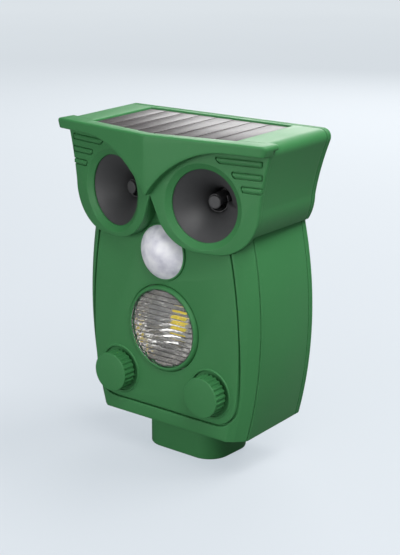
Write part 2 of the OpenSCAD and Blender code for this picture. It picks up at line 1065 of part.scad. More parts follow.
module main_board() {
    color("#2f6b3c")
        difference() {
            block(0, board_z, board_w, board_h, board_d, board_d + board_thick);
            both_sides()
                rod(pillar_x, board_z + pillar_inset - pillar_r, 1.6, board_d - 1, board_d + 3);
        }
}

module board_parts() {
    d = board_d;
    color("#1d1d1f") {
        block(-14, board_z + 20, 12, 9, d - 2, d);
        block(8, board_z + 24, 8, 8, d - 2, d);
        block(26, board_z + 10, 6, 5, d - 1.6, d);
    }
    color("#27408a")
        for (x = [-28, -2, 20])
            rod(x, board_z + 38, 3.2, d - 3.4, d);
    color("#e8e4d8")
        for (x = [-26, 0, 24])
            block(x, board_z + 3, 9, 5, d - 3.6, d);
}

module board_screws() {
    color(metal)
        both_sides() {
            rod(pillar_x, board_z + pillar_inset - pillar_r, 2.4, board_d - 1.4, board_d);
            rod(pillar_x, board_z + pillar_inset - pillar_r, 1, board_d - e, board_d + 5);
        }
}

// ---- batteries --------------------------------------------------------------

module battery_holder() {
    color("#1b1b1d")
        difference() {
            block(0, holder_z, holder_w, holder_h, holder_front, holder_back);
            for (i = [0:cell_count - 1])
                block(0, holder_z + holder_wall + i * cell_pitch + 0.2, holder_w - 2 * holder_wall,
                    cell_pitch - 0.4, holder_front + 1, holder_back + 1);
        }
}

module battery_cells() {
    color("#3f8f4f")
        for (i = [0:cell_count - 1])
            translate([0, at(cell_y), holder_z + holder_wall + (i + 0.5) * cell_pitch])
                rotate([0, i % 2 == 0 ? 90 : -90, 0]) {
                    translate([0, 0, -cell_l / 2])
                        cylinder(h = cell_l - 1.2, r = cell_r);
                    translate([0, 0, cell_l / 2 - 1.2 - e])
                        cylinder(h = 1.2, r = 2.6);
                }
}

module battery_springs() {
    room = (holder_w - 2 * holder_wall - cell_l) / 2;
    color(metal)
        for (i = [0:cell_count - 1])
            translate([0, at(cell_y), holder_z + holder_wall + (i + 0.5) * cell_pitch])
                mirror([i % 2, 0, 0]) {
                    translate([-cell_l / 2 - room, 0, 0])
                        rotate([0, 90, 0])
                            cylinder(h = 0.5, r = 5);
                    translate([-cell_l / 2 - room + 0.5 - e, 0, 0])
                        rotate([0, 90, 0])
                            cylinder(h = room - 0.5, r1 = 4, r2 = 2.2);
                    translate([cell_l / 2 + room - 0.5, 0, 0])
                        rotate([0, 90, 0])
                            cylinder(h = 0.5, r = 5);
                }
}

module battery_door() {
    color(dark_green)
        difference() {
            union() {
                block(0, door_pin_z, door_w, door_h - pin_up, case_d - door_t - door_sink,
                    case_d - door_sink);
                translate([-door_w / 2, at(door_pin_d), door_pin_z])
                    rotate([0, 90, 0])
                        cylinder(h = door_w, r = door_t / 2);
                for (i = [0:grip_ribs - 1])
                    block(0, door_z + door_h - grip_down - i * grip_pitch, grip_w, grip_h,
                        case_d - door_sink - 0.1, case_d);
            }
            both_sides()
                translate([door_w / 2 - pin_l + 1, at(door_pin_d), door_pin_z])
                    rotate([0, 90, 0])
                        cylinder(h = pin_l, r = pin_r + shaft_gap, $fn = 48);
        }
}

module door_pins() {
    color(metal)
        both_sides()
            translate([door_w / 2 - pin_l + 1.2, at(door_pin_d), door_pin_z])
                rotate([0, 90, 0])
                    cylinder(h = pin_l, r = pin_r, $fn = 48);
}

// ---- switch and charging socket ---------------------------------------------

module switch_housing() {
    color(black)
        difference() {
            block(-port_x, port_z - slot_h / 2 - 2, slot_w + 6, slot_h + 4, inner_back - 7, inner_back);
            block(-port_x, port_z - slot_h / 2, slot_w + 2 * gap, slot_h, inner_back - 5, inner_back + 1);
        }
}

module switch_slider() {
    color("#d8d8d4")
        difference() {
            block(-port_x, port_z - slot_h / 2 + gap, slot_w, slot_w, inner_back - 5 + gap, case_d - 0.2);
            for (i = [-1:1])
                block(-port_x, port_z - slot_h / 2 + gap + slot_w / 2 + i * 1.3 - 0.25, slot_w + 1, 0.5,
                    case_d - 0.7, case_d + 1);
        }
}

module charge_socket() {
    color(metal)
        difference() {
            block(port_x, port_z - usb_h / 2 - 0.5, usb_w + 1, usb_h + 1, inner_back - 7.5, inner_back);
            block(port_x, port_z - usb_h / 2, usb_w, usb_h, inner_back - 6.5, inner_back + 1);
        }
}

module charge_flap() {
    color("#26282a")
        difference() {
            union() {
                block(port_x, port_z - flap_h / 2, flap_w, flap_h - 0.8, flap_pin_d - flap_t / 2,
                    flap_pin_d + flap_t / 2);
                translate([port_x - flap_w / 2, at(flap_pin_d), flap_pin_z])
                    rotate([0, 90, 0])
                        cylinder(h = flap_w, r = flap_t / 2);
            }
            translate([port_x - big / 2, at(flap_pin_d), flap_pin_z])
                rotate([0, 90, 0])
                    cylinder(h = big, r = flap_pin_r + shaft_gap / 2, $fn = 48);
        }
}

module flap_pin() {
    color(metal)
        translate([port_x - flap_w / 2 - 2, at(flap_pin_d), flap_pin_z])
            rotate([0, 90, 0])
                cylinder(h = flap_w + 4, r = flap_pin_r, $fn = 48);
}

// ---- leads ------------------------------------------------------------------

function unit(v) = v / norm(v);
function step(p, i) = i < 0 || i > len(p) - 2 ? [0, 0, 0] : unit(p[i + 1] - p[i]);

// Lead swept through the points given
module lead(points, r) {
    sides = 8;
    last = len(points) - 1;
    rings = [for (i = [0:last])
        let (t = unit(step(points, i - 1) + step(points, i)), u = unit(cross(t, [0, 1, 0])), v = cross(t, u))
            for (k = [0:sides - 1])
                points[i] + r * (cos(360 * k / sides) * u + sin(360 * k / sides) * v)];
    walls = [for (i = [0:last - 1], k = [0:sides - 1])
        let (a = i * sides + k, b = i * sides + (k + 1) % sides)
            each [[b, a, b + sides], [a, a + sides, b + sides]]];
    ends = [[for (k = [0:sides - 1]) k], [for (k = [sides - 1:-1:0]) last * sides + k]];
    polyhedron(rings, concat(walls, ends));
}

module horn_leads() {
    color("#c23b35")
        both_sides()
            lead([[6, at(cover_d - 8), head_z - 20], [6, at(cover_d - 8), head_z + 10],
                [14, at(cover_d - 6), eye_z]], 0.7);
}

module battery_leads() {
    color("#b8332e")
        for (side = [-1, 1])
            lead([[side * (holder_w / 2 + 2), at(holder_front + 3), holder_z + holder_h - 6],
                [side * (holder_w / 2 + 2), at(holder_front + 3), holder_z + holder_h + 4],
                [side * (holder_w / 2 - 6), at(holder_front), holder_z + holder_h + 8]], 0.7);
}

module solar_leads() {
    color("#2b2b2e")
        lead([[0, at(cover_d - 7), top_z - 5], [0, at(cover_d - 7), head_z + 10],
            [0, at(cover_d - 8), head_z - 20]], 0.8);
}

front_panel();
front_frame();
body_shell();
rear_cover();
head_shell();
eye_plate();
stake_socket();
solar_panel();
solar_cells();
horn(-1);  // left_horn
horn(1);  // right_horn
horn_plug(-1);  // left_horn_plug
horn_plug(1);  // right_horn_plug
driver(-1);  // left_driver
driver(1);  // right_driver
pir_dome();
pir_ring();
pir_sensor();
lens_ring();
strobe_lens();
reflector();
strobe_board();
strobe_leds();
knob(-knob_x);  // left_knob
knob(knob_x);  // right_knob
shaft(-knob_x);  // left_shaft
shaft(knob_x);  // right_shaft
control(-knob_x);  // left_control
control(knob_x);  // right_control
control_nuts();
main_board();
board_parts();
battery_holder();
battery_cells();
battery_springs();
battery_door();
door_pins();
switch_slider();
switch_housing();
charge_socket();
charge_flap();
flap_pin();
case_screws();
board_screws();
case_seal();
horn_leads();
battery_leads();
solar_leads();
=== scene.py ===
import math
import bpy
import bmesh
import numpy as np
from mathutils import Matrix, Vector


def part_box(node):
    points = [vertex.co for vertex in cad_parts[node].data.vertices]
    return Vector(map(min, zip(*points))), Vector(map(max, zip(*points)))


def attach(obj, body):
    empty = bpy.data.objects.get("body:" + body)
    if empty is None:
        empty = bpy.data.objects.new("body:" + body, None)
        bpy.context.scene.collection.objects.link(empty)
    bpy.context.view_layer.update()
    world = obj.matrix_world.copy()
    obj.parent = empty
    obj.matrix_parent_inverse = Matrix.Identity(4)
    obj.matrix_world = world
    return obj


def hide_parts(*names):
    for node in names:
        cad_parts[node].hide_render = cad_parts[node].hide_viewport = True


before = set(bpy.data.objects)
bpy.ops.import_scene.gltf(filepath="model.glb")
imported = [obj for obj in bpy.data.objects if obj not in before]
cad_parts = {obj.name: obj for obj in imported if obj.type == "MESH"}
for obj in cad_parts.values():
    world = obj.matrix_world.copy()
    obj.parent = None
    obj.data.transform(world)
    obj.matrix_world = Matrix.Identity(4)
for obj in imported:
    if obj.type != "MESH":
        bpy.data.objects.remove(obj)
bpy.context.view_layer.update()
print("frame loaded:", len(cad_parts), "nodes")

mm = 0.001  # lengths below are millimetres in the part's own frame, +Z up and the front towards -Y

cameraSettings = {
    "place": (419.78, -512.56, 280.26),
    "azimuth": 39.2512,
    "elevation": 16.1176,
    "roll": -0.06,
    "lens": 89.19,
    "sensor": 36.0,
}


def addCamera(opts):
    az = math.radians(opts["azimuth"])
    el = math.radians(opts["elevation"])
    back = Vector((math.sin(az) * math.cos(el), -math.cos(az) * math.cos(el), math.sin(el)))
    right = Vector((math.cos(az), math.sin(az), 0))
    aimed = Matrix((right, back.cross(right), back)).transposed().to_4x4()
    data = bpy.data.cameras.new("camera")
    data.lens = opts["lens"]
    data.sensor_width = opts["sensor"]
    data.clip_start = 0.01
    data.clip_end = 50
    cam = bpy.data.objects.new("camera", data)
    place = Matrix.Translation(Vector(opts["place"]) * mm)
    cam.matrix_world = place @ aimed @ Matrix.Rotation(math.radians(opts["roll"]), 4, "Z")
    bpy.context.scene.collection.objects.link(cam)
    bpy.context.scene.camera = cam


addCamera(cameraSettings)
print("camera placed")


def boxMm(node):
    lo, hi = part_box(node)
    return lo / mm, hi / mm


def centreMm(node):
    lo, hi = boxMm(node)
    return (lo + hi) / 2


# Levels and planes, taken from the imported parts
ringProud = 0.8
frontY = boxMm("lens_ring")[0].y + ringProud
frameLo, frameHi = boxMm("front_frame")
bodyZ = frameLo.z
headZ = frameHi.z
bodyHalf = frameHi.x
lensZ = centreMm("strobe_lens").z
domeZ = centreMm("pir_dome").z
knobZ = centreMm("right_knob").z
knobX = centreMm("right_knob").x
lensR = (boxMm("strobe_lens")[1].x - boxMm("strobe_lens")[0].x) / 2 + 0.1
headHalf = boxMm("head_shell")[1].x
coverD = boxMm("rear_cover")[0].y - frontY
caseD = boxMm("rear_cover")[1].y - frontY
seamD = boxMm("body_shell")[0].y - frontY

# Widths and turns that the outlines share
caseShape = {
    "wall": 2.4,
    "sideR": 205.0,
    "bowZ": bodyZ + 56,
    "creaseD": 3.3,
    "chamfer": 4.75,
    "shoulder": 3.4,
    "panelD": 0.75,
    "panelT": 2.0,
    "panelHalf": 46.2,
    "panelR": 240.0,
    "panelUp": 7.8,
    "panelCorner": 13.0,
    "groove": 0.95,
    "footRise": 2.4,
}
headShape = {
    "topZ": headZ + 44.2,
    "tilt": math.tan(math.radians(1.43)),
    "footTaper": math.tan(math.radians(2.75)),
    "topTaper": math.tan(math.radians(-0.6)),
    "taperFrom": 40.0,
    "flareR": 160.0,
    "lobeR": 23.0,
    "lobeIn": 25.5,
    "lobeOut": 34.3,
    "lobeZ": headZ + 12.5,
    "noseTurn": math.radians(21.7),
    "yaw": math.radians(9.7),
    "plateOut": 8.5,
    "plateT": 2.6,
    "topRound": 4.6,
}
eyeShape = {"along": 28.75, "z": headZ + 11.9, "mouthR": 17.5, "bevelW": 2.7, "bevelD": 1.9}
yawRun = math.tan(headShape["yaw"])
backD = caseShape["panelD"] + caseShape["panelT"]


def at(depth):
    return frontY + depth


# Mesh helpers. Shapes are made in millimetres and scaled to metres when a piece is finished.


def newPiece(name, bm):
    mesh = bpy.data.meshes.new(name)
    bm.to_mesh(mesh)
    bm.free()
    obj = bpy.data.objects.new(name, mesh)
    bpy.context.scene.collection.objects.link(obj)
    return obj


def skin(name, rings, capEnds=True, loop=False):
    # rings of equally many points, joined in order; loop joins the last ring to the first
    bm = bmesh.new()
    rows = [[bm.verts.new(p) for p in ring] for ring in rings]
    count = len(rows[0])
    spans = list(zip(rows, rows[1:])) + ([(rows[-1], rows[0])] if loop else [])
    for a, b in spans:
        for i in range(count):
            j = (i + 1) % count
            bm.faces.new((a[i], a[j], b[j], b[i]))
    if capEnds:
        bm.faces.new(list(reversed(rows[0])))
        bm.faces.new(rows[-1])
    bmesh.ops.remove_doubles(bm, verts=bm.verts, dist=1e-5)
    bmesh.ops.recalc_face_normals(bm, faces=bm.faces)
    return newPiece(name, bm)


def roundPath(points, radii, steps=5, closed=False):
    # turns the corners of a 2D path into arcs of the radii given
    out = []
    count = len(points)
    for i, p in enumerate(points):
        r = radii[i]
        p = Vector(p)
        if r <= 0 or (not closed and i in (0, count - 1)):
            out.append(tuple(p))
            continue
        a = (Vector(points[i - 1]) - p).normalized()
        b = (Vector(points[(i + 1) % count]) - p).normalized()
        half = a.angle(b) / 2
        reach = r / math.tan(half)
        centre = p + (a + b).normalized() * (r / math.sin(half))
        start = p + a * reach - centre
        end = p + b * reach - centre
        sweep = start.angle(end)
        for k in range(steps + 1):
            t = k / steps
            v = (start * math.sin((1 - t) * sweep) + end * math.sin(t * sweep)) / math.sin(sweep)
            out.append(tuple(centre + v))
    return out


def turnOn(centre, axis):
    # frame whose third column is the axis
    w = Vector(axis).normalized()
    u = Vector((1, 0, 0) if abs(w.z) > 0.9 else (0, 0, 1)).cross(w).normalized()
    return Matrix((u, w.cross(u), w)).transposed().to_4x4(), Vector(centre)


def revolve(name, profile, centre, axis, steps=96, closed=False):
    # profile is (radius, along); a closed profile makes a ring, an open one is capped at both ends
    turn, c = turnOn(centre, axis)
    rings = []
    for r, s in profile:
        ring = []
        for k in range(steps):
            a = 2 * math.pi * k / steps
            ring.append(c + turn.to_3x3() @ Vector((r * math.cos(a), r * math.sin(a), s)))
        rings.append(ring)
    return skin(name, rings, capEnds=not closed, loop=closed)


def applied(obj):
    # the object's mesh with its modifiers applied
    graph = bpy.context.evaluated_depsgraph_get()
    mesh = bpy.data.meshes.new_from_object(obj.evaluated_get(graph))
    obj.modifiers.clear()
    old = obj.data
    obj.data = mesh
    bpy.data.meshes.remove(old)
    return obj


def combine(obj, tool, how):
    mod = obj.modifiers.new(how, "BOOLEAN")
    mod.operation = how
    mod.solver = "MANIFOLD"
    mod.object = tool
    applied(obj)
    bpy.data.objects.remove(tool)
    return obj


def cut(obj, *tools):
    for tool in tools:
        combine(obj, tool, "DIFFERENCE")
    return obj


def fuse(obj, *others):
    for other in others:
        combine(obj, other, "UNION")
    return obj


def mirrored(obj, name):
    other = obj.copy()
    other.data = obj.data.copy()
    other.name = name
    other.data.transform(Matrix.Diagonal((-1, 1, 1, 1)))
    other.data.flip_normals()
    bpy.context.scene.collection.objects.link(other)
    return other


def softened(obj, width, steps=3, angle=32):
    mod = obj.modifiers.new("soft edges", "BEVEL")
    mod.width = width
    mod.segments = steps
    mod.limit_method = "ANGLE"
    mod.angle_limit = math.radians(angle)
    mod.use_clamp_overlap = True
    return applied(obj)


def joined(name, objs):
    bm = bmesh.new()
    for o in objs:
        bm.from_mesh(o.data)
        bpy.data.objects.remove(o)
    return newPiece(name, bm)


def boxPiece(name, lo, hi):
    bm = bmesh.new()
    bmesh.ops.create_cube(bm, size=1)
    lo, hi = Vector(lo), Vector(hi)
    bm.transform(Matrix.Translation((lo + hi) / 2) @ Matrix.Diagonal((*(hi - lo), 1)))
    return newPiece(name, bm)


def cadCopy(name, node):
    # a copy of a CAD node in millimetres, merged and with its flat faces whole, ready for soft edges
    bm = bmesh.new()
    bm.from_mesh(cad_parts[node].data)
    bm.transform(Matrix.Scale(1 / mm, 4))
    bmesh.ops.remove_doubles(bm, verts=bm.verts, dist=1e-4)
    bmesh.ops.dissolve_limit(bm, angle_limit=math.radians(0.5), verts=bm.verts, edges=bm.edges)
    return newPiece(name, bm)


def finishPiece(obj, material, body, slot, *nodes, sharp=32):
    obj.data.transform(Matrix.Scale(mm, 4))
    obj.data.materials.clear()
    obj.data.materials.append(material)
    for poly in obj.data.polygons:
        poly.use_smooth = True
        poly.material_index = 0
    obj.data.set_sharp_from_angle(angle=math.radians(sharp))
    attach(obj, body)
    if nodes:
        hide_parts(*nodes)
    return obj


def arc(cx, cz, r, a0, a1, steps):
    # points on a circle from angle a0 to a1, in degrees
    turns = [math.radians(a0 + (a1 - a0) * k / steps) for k in range(steps + 1)]
    return [(cx + r * math.cos(a), cz + r * math.sin(a)) for a in turns]


def line(p, q, steps):
    return [(p[0] + (q[0] - p[0]) * k / steps, p[1] + (q[1] - p[1]) * k / steps) for k in range(steps + 1)]


coarseTurn = (0, 30, 60, 90)
fineTurn = (0, 22, 45, 67, 90)


def roundIn(r, start, turn=coarseTurn, base=0.0):
    # quarter round at a front edge, as (distance in from the side, depth)
    return [(base + r * (1 - math.sin(a)), start + r * (1 - math.cos(a))) for a in np.radians(turn)]


def roundOut(r, end, turn=coarseTurn):
    # quarter round at a back edge
    return [(r * (1 - math.cos(a)), end - r + r * math.sin(a)) for a in np.radians(turn)]


def turned(name, profile, x=0.0, z=0.0, steps=96, closed=False):
    # revolved about a line along the depth, at this place on the front
    return revolve(name, profile, (x, at(0), z), (0, 1, 0), steps, closed)


def rod(name, r, d0, d1, x=0.0, z=0.0, steps=48):
    return turned(name, [(r, d0), (r, d1)], x, z, steps)


def window(name, x, z, w, h, d0, d1):
    # block seen from the front as a rectangle about this place
    return boxPiece(name, (x - w / 2, at(d0), z - h / 2), (x + w / 2, at(d1), z + h / 2))


def bothHalves(half):
    # a right half from top to foot, carried on to the left half from foot to top
    left = [(-x, z) for x, z in reversed(half)]
    return half + (left[1:] if abs(half[-1][0]) < 1e-6 else left)


def bowedHalf(half, sideR, bowZ, footZ, corner, topZ):
    # right half of a bowed outline with a rounded lower corner, from its top to the middle of its foot
    cx = half - sideR
    fz = footZ + corner
    fx = cx + math.sqrt((sideR - corner) ** 2 - (fz - bowZ) ** 2)
    top = math.degrees(math.asin((topZ - bowZ) / sideR))
    low = math.degrees(math.atan2(fz - bowZ, fx - cx))
    side = arc(cx, bowZ, sideR, top, low, 40)
    turn = arc(fx, fz, corner, low, -90, 8)
    return side + turn[1:] + line((fx, footZ), (0, footZ), 8)[1:]


def bodyHalf2d(sideIn, footIn, corner):
    s = caseShape
    return bowedHalf(bodyHalf - sideIn, s["sideR"] - sideIn, s["bowZ"], bodyZ + footIn, corner, headZ)


def panelHalf2d(inset):
    s = caseShape
    corner = s["panelCorner"] - inset
    return bowedHalf(s["panelHalf"] - inset, s["panelR"] - inset, lensZ - 6, bodyZ + s["panelUp"] + inset,
                     corner, headZ)


def footRise(depth):
    # the underside slopes up from the parting line to the back
    return caseShape["footRise"] * max(0, depth - seamD) / (caseD - seamD)


def seamEdge(plane, way, opts):
    # rounded edge at a parting plane, with a narrow slot behind it
    # way is 1 where the piece lies behind the plane
    r, gap, deep = opts["seam"], opts["slotW"] / 2, opts["slotD"]
    turn = [(i, plane + way * d) for i, d in roundIn(r, gap)]
    edge = [(deep, plane), (deep, plane + way * gap)] + turn
    return edge if way > 0 else edge[::-1]


def openTop(half, lift):
    # both halves of an outline, carried on past the body's top
    return [(x, z) if z < headZ - 1e-6 else (x, headZ + lift) for x, z in bothHalves(half)]


def upright(points, depth):
    return [Vector((x, at(depth), z)) for x, z in points]


print("helpers ready")


# Node materials and the effects they share

def newGroup(name, inputs, outputs):
    group = bpy.data.node_groups.new(name, "ShaderNodeTree")
    for label, kind, value in inputs:
        socket = group.interface.new_socket(label, in_out="INPUT", socket_type="NodeSocket" + kind)
        if value is not None:
            socket.default_value = value
    for label, kind in outputs:
        group.interface.new_socket(label, in_out="OUTPUT", socket_type="NodeSocket" + kind)
    return group, group.links, group.nodes.new("NodeGroupInput"), group.nodes.new("NodeGroupOutput")


def addNode(tree, kind, links=None, **values):
    # values are attributes by name, or inputs where the name starts with "in_" and spaces are "_"
    node = tree.nodes.new(kind)
    for key, value in values.items():
        if not key.startswith("in_"):
            setattr(node, key, value)
    for key, value in values.items():
        if key.startswith("in_"):
            node.inputs[key[3:].replace("_", " ")].default_value = value
    for key, source in (links or {}).items():
        target = node.inputs[key]
        tree.links.new(source, target)
    return node


def rampOf(tree, source, stops):
    node = tree.nodes.new("ShaderNodeValToRGB")
    node.color_ramp.elements[0].position = stops[0][0]
    node.color_ramp.elements[0].color = stops[0][1]
    node.color_ramp.elements[1].position = stops[-1][0]
    node.color_ramp.elements[1].color = stops[-1][1]
    for place, colour in stops[1:-1]:
        node.color_ramp.elements.new(place).color = colour
    tree.links.new(source, node.inputs[0])
    return node.outputs[0]


def noiseAt(tree, coords, scale, detail, **more):
    return addNode(tree, "ShaderNodeTexNoise", {"Vector": coords.outputs["Object"]}, in_Scale=scale,
                   in_Detail=detail, **more)


def mapped(tree, value, low, high):
    return addNode(tree, "ShaderNodeMapRange", {"Value": value}, in_To_Min=low, in_To_Max=high)


def mixed(tree, factor, a, b, blend="MIX"):
    node = tree.nodes.new("ShaderNodeMix")
    node.data_type = "RGBA"
    node.blend_type = blend
    for socket, value in ((node.inputs[0], factor), (node.inputs[6], a), (node.inputs[7], b)):
        if hasattr(value, "links"):
            tree.links.new(value, socket)
        else:
            socket.default_value = value
    return node.outputs[2]


def edgeHighlightGroup():
    # painted highlight: 1 on outer edges, which are painted lighter as if they catch the light, and 0 on flat
    # faces, broken up by a fine noise
    group, links, given, out = newGroup(
        "edgeHighlight",
        [("Radius", "Float", 0.0006), ("Breakup", "Float", 900.0)],
        [("Mask", "Float"), ("Normal", "Vector")],
    )
    coords = addNode(group, "ShaderNodeTexCoord")
    bevel = addNode(group, "ShaderNodeBevel", {"Radius": given.outputs["Radius"]}, samples=4)
    plain = addNode(group, "ShaderNodeNewGeometry")
    dot = addNode(group, "ShaderNodeVectorMath", {0: bevel.outputs[0], 1: plain.outputs["Normal"]},
                  operation="DOT_PRODUCT")
    angled = addNode(group, "ShaderNodeMapRange", {"Value": dot.outputs["Value"]},
                     in_From_Min=0.995, in_From_Max=0.80, in_To_Min=0.0, in_To_Max=1.0)
    noise = addNode(group, "ShaderNodeTexNoise",
                    {"Vector": coords.outputs["Object"], "Scale": given.outputs["Breakup"]},
                    in_Detail=3.0, in_Roughness=0.6)
    rough = addNode(group, "ShaderNodeMapRange", {"Value": noise.outputs["Fac"]},
                    in_From_Min=0.35, in_From_Max=0.65, in_To_Min=0.35, in_To_Max=1.0)
    mask = addNode(group, "ShaderNodeMath", {0: angled.outputs[0], 1: rough.outputs[0]}, operation="MULTIPLY")
    links.new(mask.outputs[0], out.inputs["Mask"])
    links.new(bevel.outputs[0], out.inputs["Normal"])
    return group


def mouldedGroup():
    # the skin of a moulded part: slow colour drift, fine grain, dust in a thin layer
    group, links, given, out = newGroup(
        "mouldedSkin",
        [("Color", "Color", (0.1, 0.1, 0.1, 1)), ("Drift", "Float", 0.12), ("Grain Scale", "Float", 2600.0),
         ("Grain Depth", "Float", 0.000012), ("Roughness", "Float", 0.45), ("Dust", "Float", 0.05),
         ("Normal", "Vector", None)],
        [("Color", "Color"), ("Roughness", "Float"), ("Normal", "Vector")],
    )
    coords = addNode(group, "ShaderNodeTexCoord")
    slow = addNode(group, "ShaderNodeTexNoise", {"Vector": coords.outputs["Object"]},
                   in_Scale=38.0, in_Detail=4.0, in_Roughness=0.55)
    fine = addNode(group, "ShaderNodeTexNoise",
                   {"Vector": coords.outputs["Object"], "Scale": given.outputs["Grain Scale"]},
                   in_Detail=2.0, in_Roughness=0.6)
    specks = addNode(group, "ShaderNodeTexNoise", {"Vector": coords.outputs["Object"]},
                     in_Scale=420.0, in_Detail=5.0, in_Roughness=0.7)
    darker = addNode(group, "ShaderNodeHueSaturation", {"Color": given.outputs["Color"]}, in_Value=0.72)
    lighter = addNode(group, "ShaderNodeHueSaturation", {"Color": given.outputs["Color"]}, in_Value=1.22)
    drift = addNode(group, "ShaderNodeMapRange", {"Value": slow.outputs["Fac"]},
                    in_From_Min=0.3, in_From_Max=0.7, in_To_Min=0.0, in_To_Max=1.0)
    two = mixed(group, drift.outputs[0], darker.outputs[0], lighter.outputs[0])
    body = mixed(group, given.outputs["Drift"], given.outputs["Color"], two)
    dusty = addNode(group, "ShaderNodeMapRange", {"Value": specks.outputs["Fac"]},
                    in_From_Min=0.58, in_From_Max=0.8, in_To_Min=0.0, in_To_Max=1.0)
    dust = addNode(group, "ShaderNodeMath", {0: dusty.outputs[0], 1: given.outputs["Dust"]},
                   operation="MULTIPLY")
    colour = mixed(group, dust.outputs[0], body, (0.5, 0.5, 0.42, 1))
    spread = addNode(group, "ShaderNodeMapRange", {"Value": slow.outputs["Fac"]},
                     in_From_Min=0.3, in_From_Max=0.7, in_To_Min=-0.05, in_To_Max=0.05)
    rough = addNode(group, "ShaderNodeMath", {0: given.outputs["Roughness"], 1: spread.outputs[0]},
                    operation="ADD")
    bump = addNode(group, "ShaderNodeBump",
                   {"Height": fine.outputs["Fac"], "Distance": given.outputs["Grain Depth"],
                    "Normal": given.outputs["Normal"]}, in_Strength=1.0)
    links.new(colour, out.inputs["Color"])
    links.new(rough.outputs[0], out.inputs["Roughness"])
    links.new(bump.outputs[0], out.inputs["Normal"])
    return group


edgeHighlight = edgeHighlightGroup()
mouldedSkin = mouldedGroup()


def blankMaterial(name):
    mat = bpy.data.materials.new(name)
    mat.use_nodes = True
    tree = mat.node_tree
    tree.nodes.clear()
    out = tree.nodes.new("ShaderNodeOutputMaterial")
    shader = tree.nodes.new("ShaderNodeBsdfPrincipled")
    tree.links.new(shader.outputs[0], out.inputs[0])
    return mat, tree, shader


def useGroup(tree, group, links=None, **values):
    node = tree.nodes.new("ShaderNodeGroup")
    node.node_tree = group
    for key, value in values.items():
        node.inputs[key.replace("_", " ")].default_value = value
    for key, source in (links or {}).items():
        tree.links.new(source, node.inputs[key])
    return node


def mouldedPlastic(name, colour, roughness=0.48, drift=0.12, dust=0.04,
                   grainScale=2600.0, grainDepth=0.000012, specular=0.25, wear=0.35):
    mat, tree, shader = blankMaterial(name)
    edgeRadius = 0.0007
    litEdge = useGroup(tree, edgeHighlight, Radius=edgeRadius)
    face = useGroup(tree, mouldedSkin, {"Normal": litEdge.outputs["Normal"]}, Color=(*colour, 1), Drift=drift,
                    Grain_Scale=grainScale, Grain_Depth=grainDepth, Roughness=roughness, Dust=dust)
    # outer edges get a painted highlight: the face colour is mixed towards a lighter tint where edges would
    # catch the light
    amount = addNode(tree, "ShaderNodeMath", {0: litEdge.outputs["Mask"]}, operation="MULTIPLY")
    amount.inputs[1].default_value = wear
    highlightColour = tuple(min(1.0, c * 1.9 + 0.02) for c in colour)
    tinted = mixed(tree, amount.outputs[0], face.outputs["Color"], (*highlightColour, 1))
    tree.links.new(tinted, shader.inputs["Base Color"])
    tree.links.new(face.outputs["Roughness"], shader.inputs["Roughness"])
    tree.links.new(face.outputs["Normal"], shader.inputs["Normal"])
    shader.inputs["Specular IOR Level"].default_value = specular
    return mat


def brushedMetal(name, colour, roughness=0.28, scale=900.0):
    mat, tree, shader = blankMaterial(name)
    coords = addNode(tree, "ShaderNodeTexCoord")
    stretch = addNode(tree, "ShaderNodeMapping", {"Vector": coords.outputs["Object"]}, in_Scale=(1, 1, 0.08))
    lines = addNode(tree, "ShaderNodeTexNoise", {"Vector": stretch.outputs[0]}, in_Scale=scale, in_Detail=4.0)
    tint = rampOf(tree, lines.outputs["Fac"],
                  [(0.3, (*[c * 0.75 for c in colour], 1)), (0.7, (*[min(1, c * 1.1) for c in colour], 1))])
    rough = mapped(tree, lines.outputs["Fac"], roughness - 0.08, roughness + 0.12)
    bump = addNode(tree, "ShaderNodeBump", {"Height": lines.outputs["Fac"]}, in_Strength=0.4,
                   in_Distance=0.00002)
    tree.links.new(tint, shader.inputs["Base Color"])
    tree.links.new(rough.outputs[0], shader.inputs["Roughness"])
    tree.links.new(bump.outputs[0], shader.inputs["Normal"])
    shader.inputs["Metallic"].default_value = 1.0
    return mat


def domeMaterial():
    # milky lens film: soft blotches from its many small lenslets
    mat, tree, shader = blankMaterial("milky sensor lens")
    coords = addNode(tree, "ShaderNodeTexCoord")
    cells = addNode(tree, "ShaderNodeTexVoronoi", {"Vector": coords.outputs["Object"]}, in_Scale=330.0,
                    feature="SMOOTH_F1")
    slow = noiseAt(tree, coords, 170.0, 3.0)
    tint = rampOf(tree, slow.outputs["Fac"],
                  [(0.3, (0.60, 0.60, 0.68, 1)), (0.5, (0.80, 0.80, 0.86, 1)), (0.68, (0.93, 0.93, 0.96, 1))])
    shade = rampOf(tree, cells.outputs["Distance"], [(0.0, (1, 1, 1, 1)), (0.8, (0.84, 0.84, 0.88, 1))])
    colour = mixed(tree, 0.7, tint, shade, "MULTIPLY")
    bump = addNode(tree, "ShaderNodeBump", {"Height": cells.outputs["Distance"]}, in_Strength=0.35,
                   in_Distance=0.0003)
    rough = mapped(tree, slow.outputs["Fac"], 0.3, 0.5)
    tree.links.new(colour, shader.inputs["Base Color"])
    tree.links.new(rough.outputs[0], shader.inputs["Roughness"])
    tree.links.new(bump.outputs[0], shader.inputs["Normal"])
    shader.inputs["Subsurface Weight"].default_value = 0.25
    shader.inputs["Subsurface Radius"].default_value = (0.004, 0.004, 0.004)
    return mat


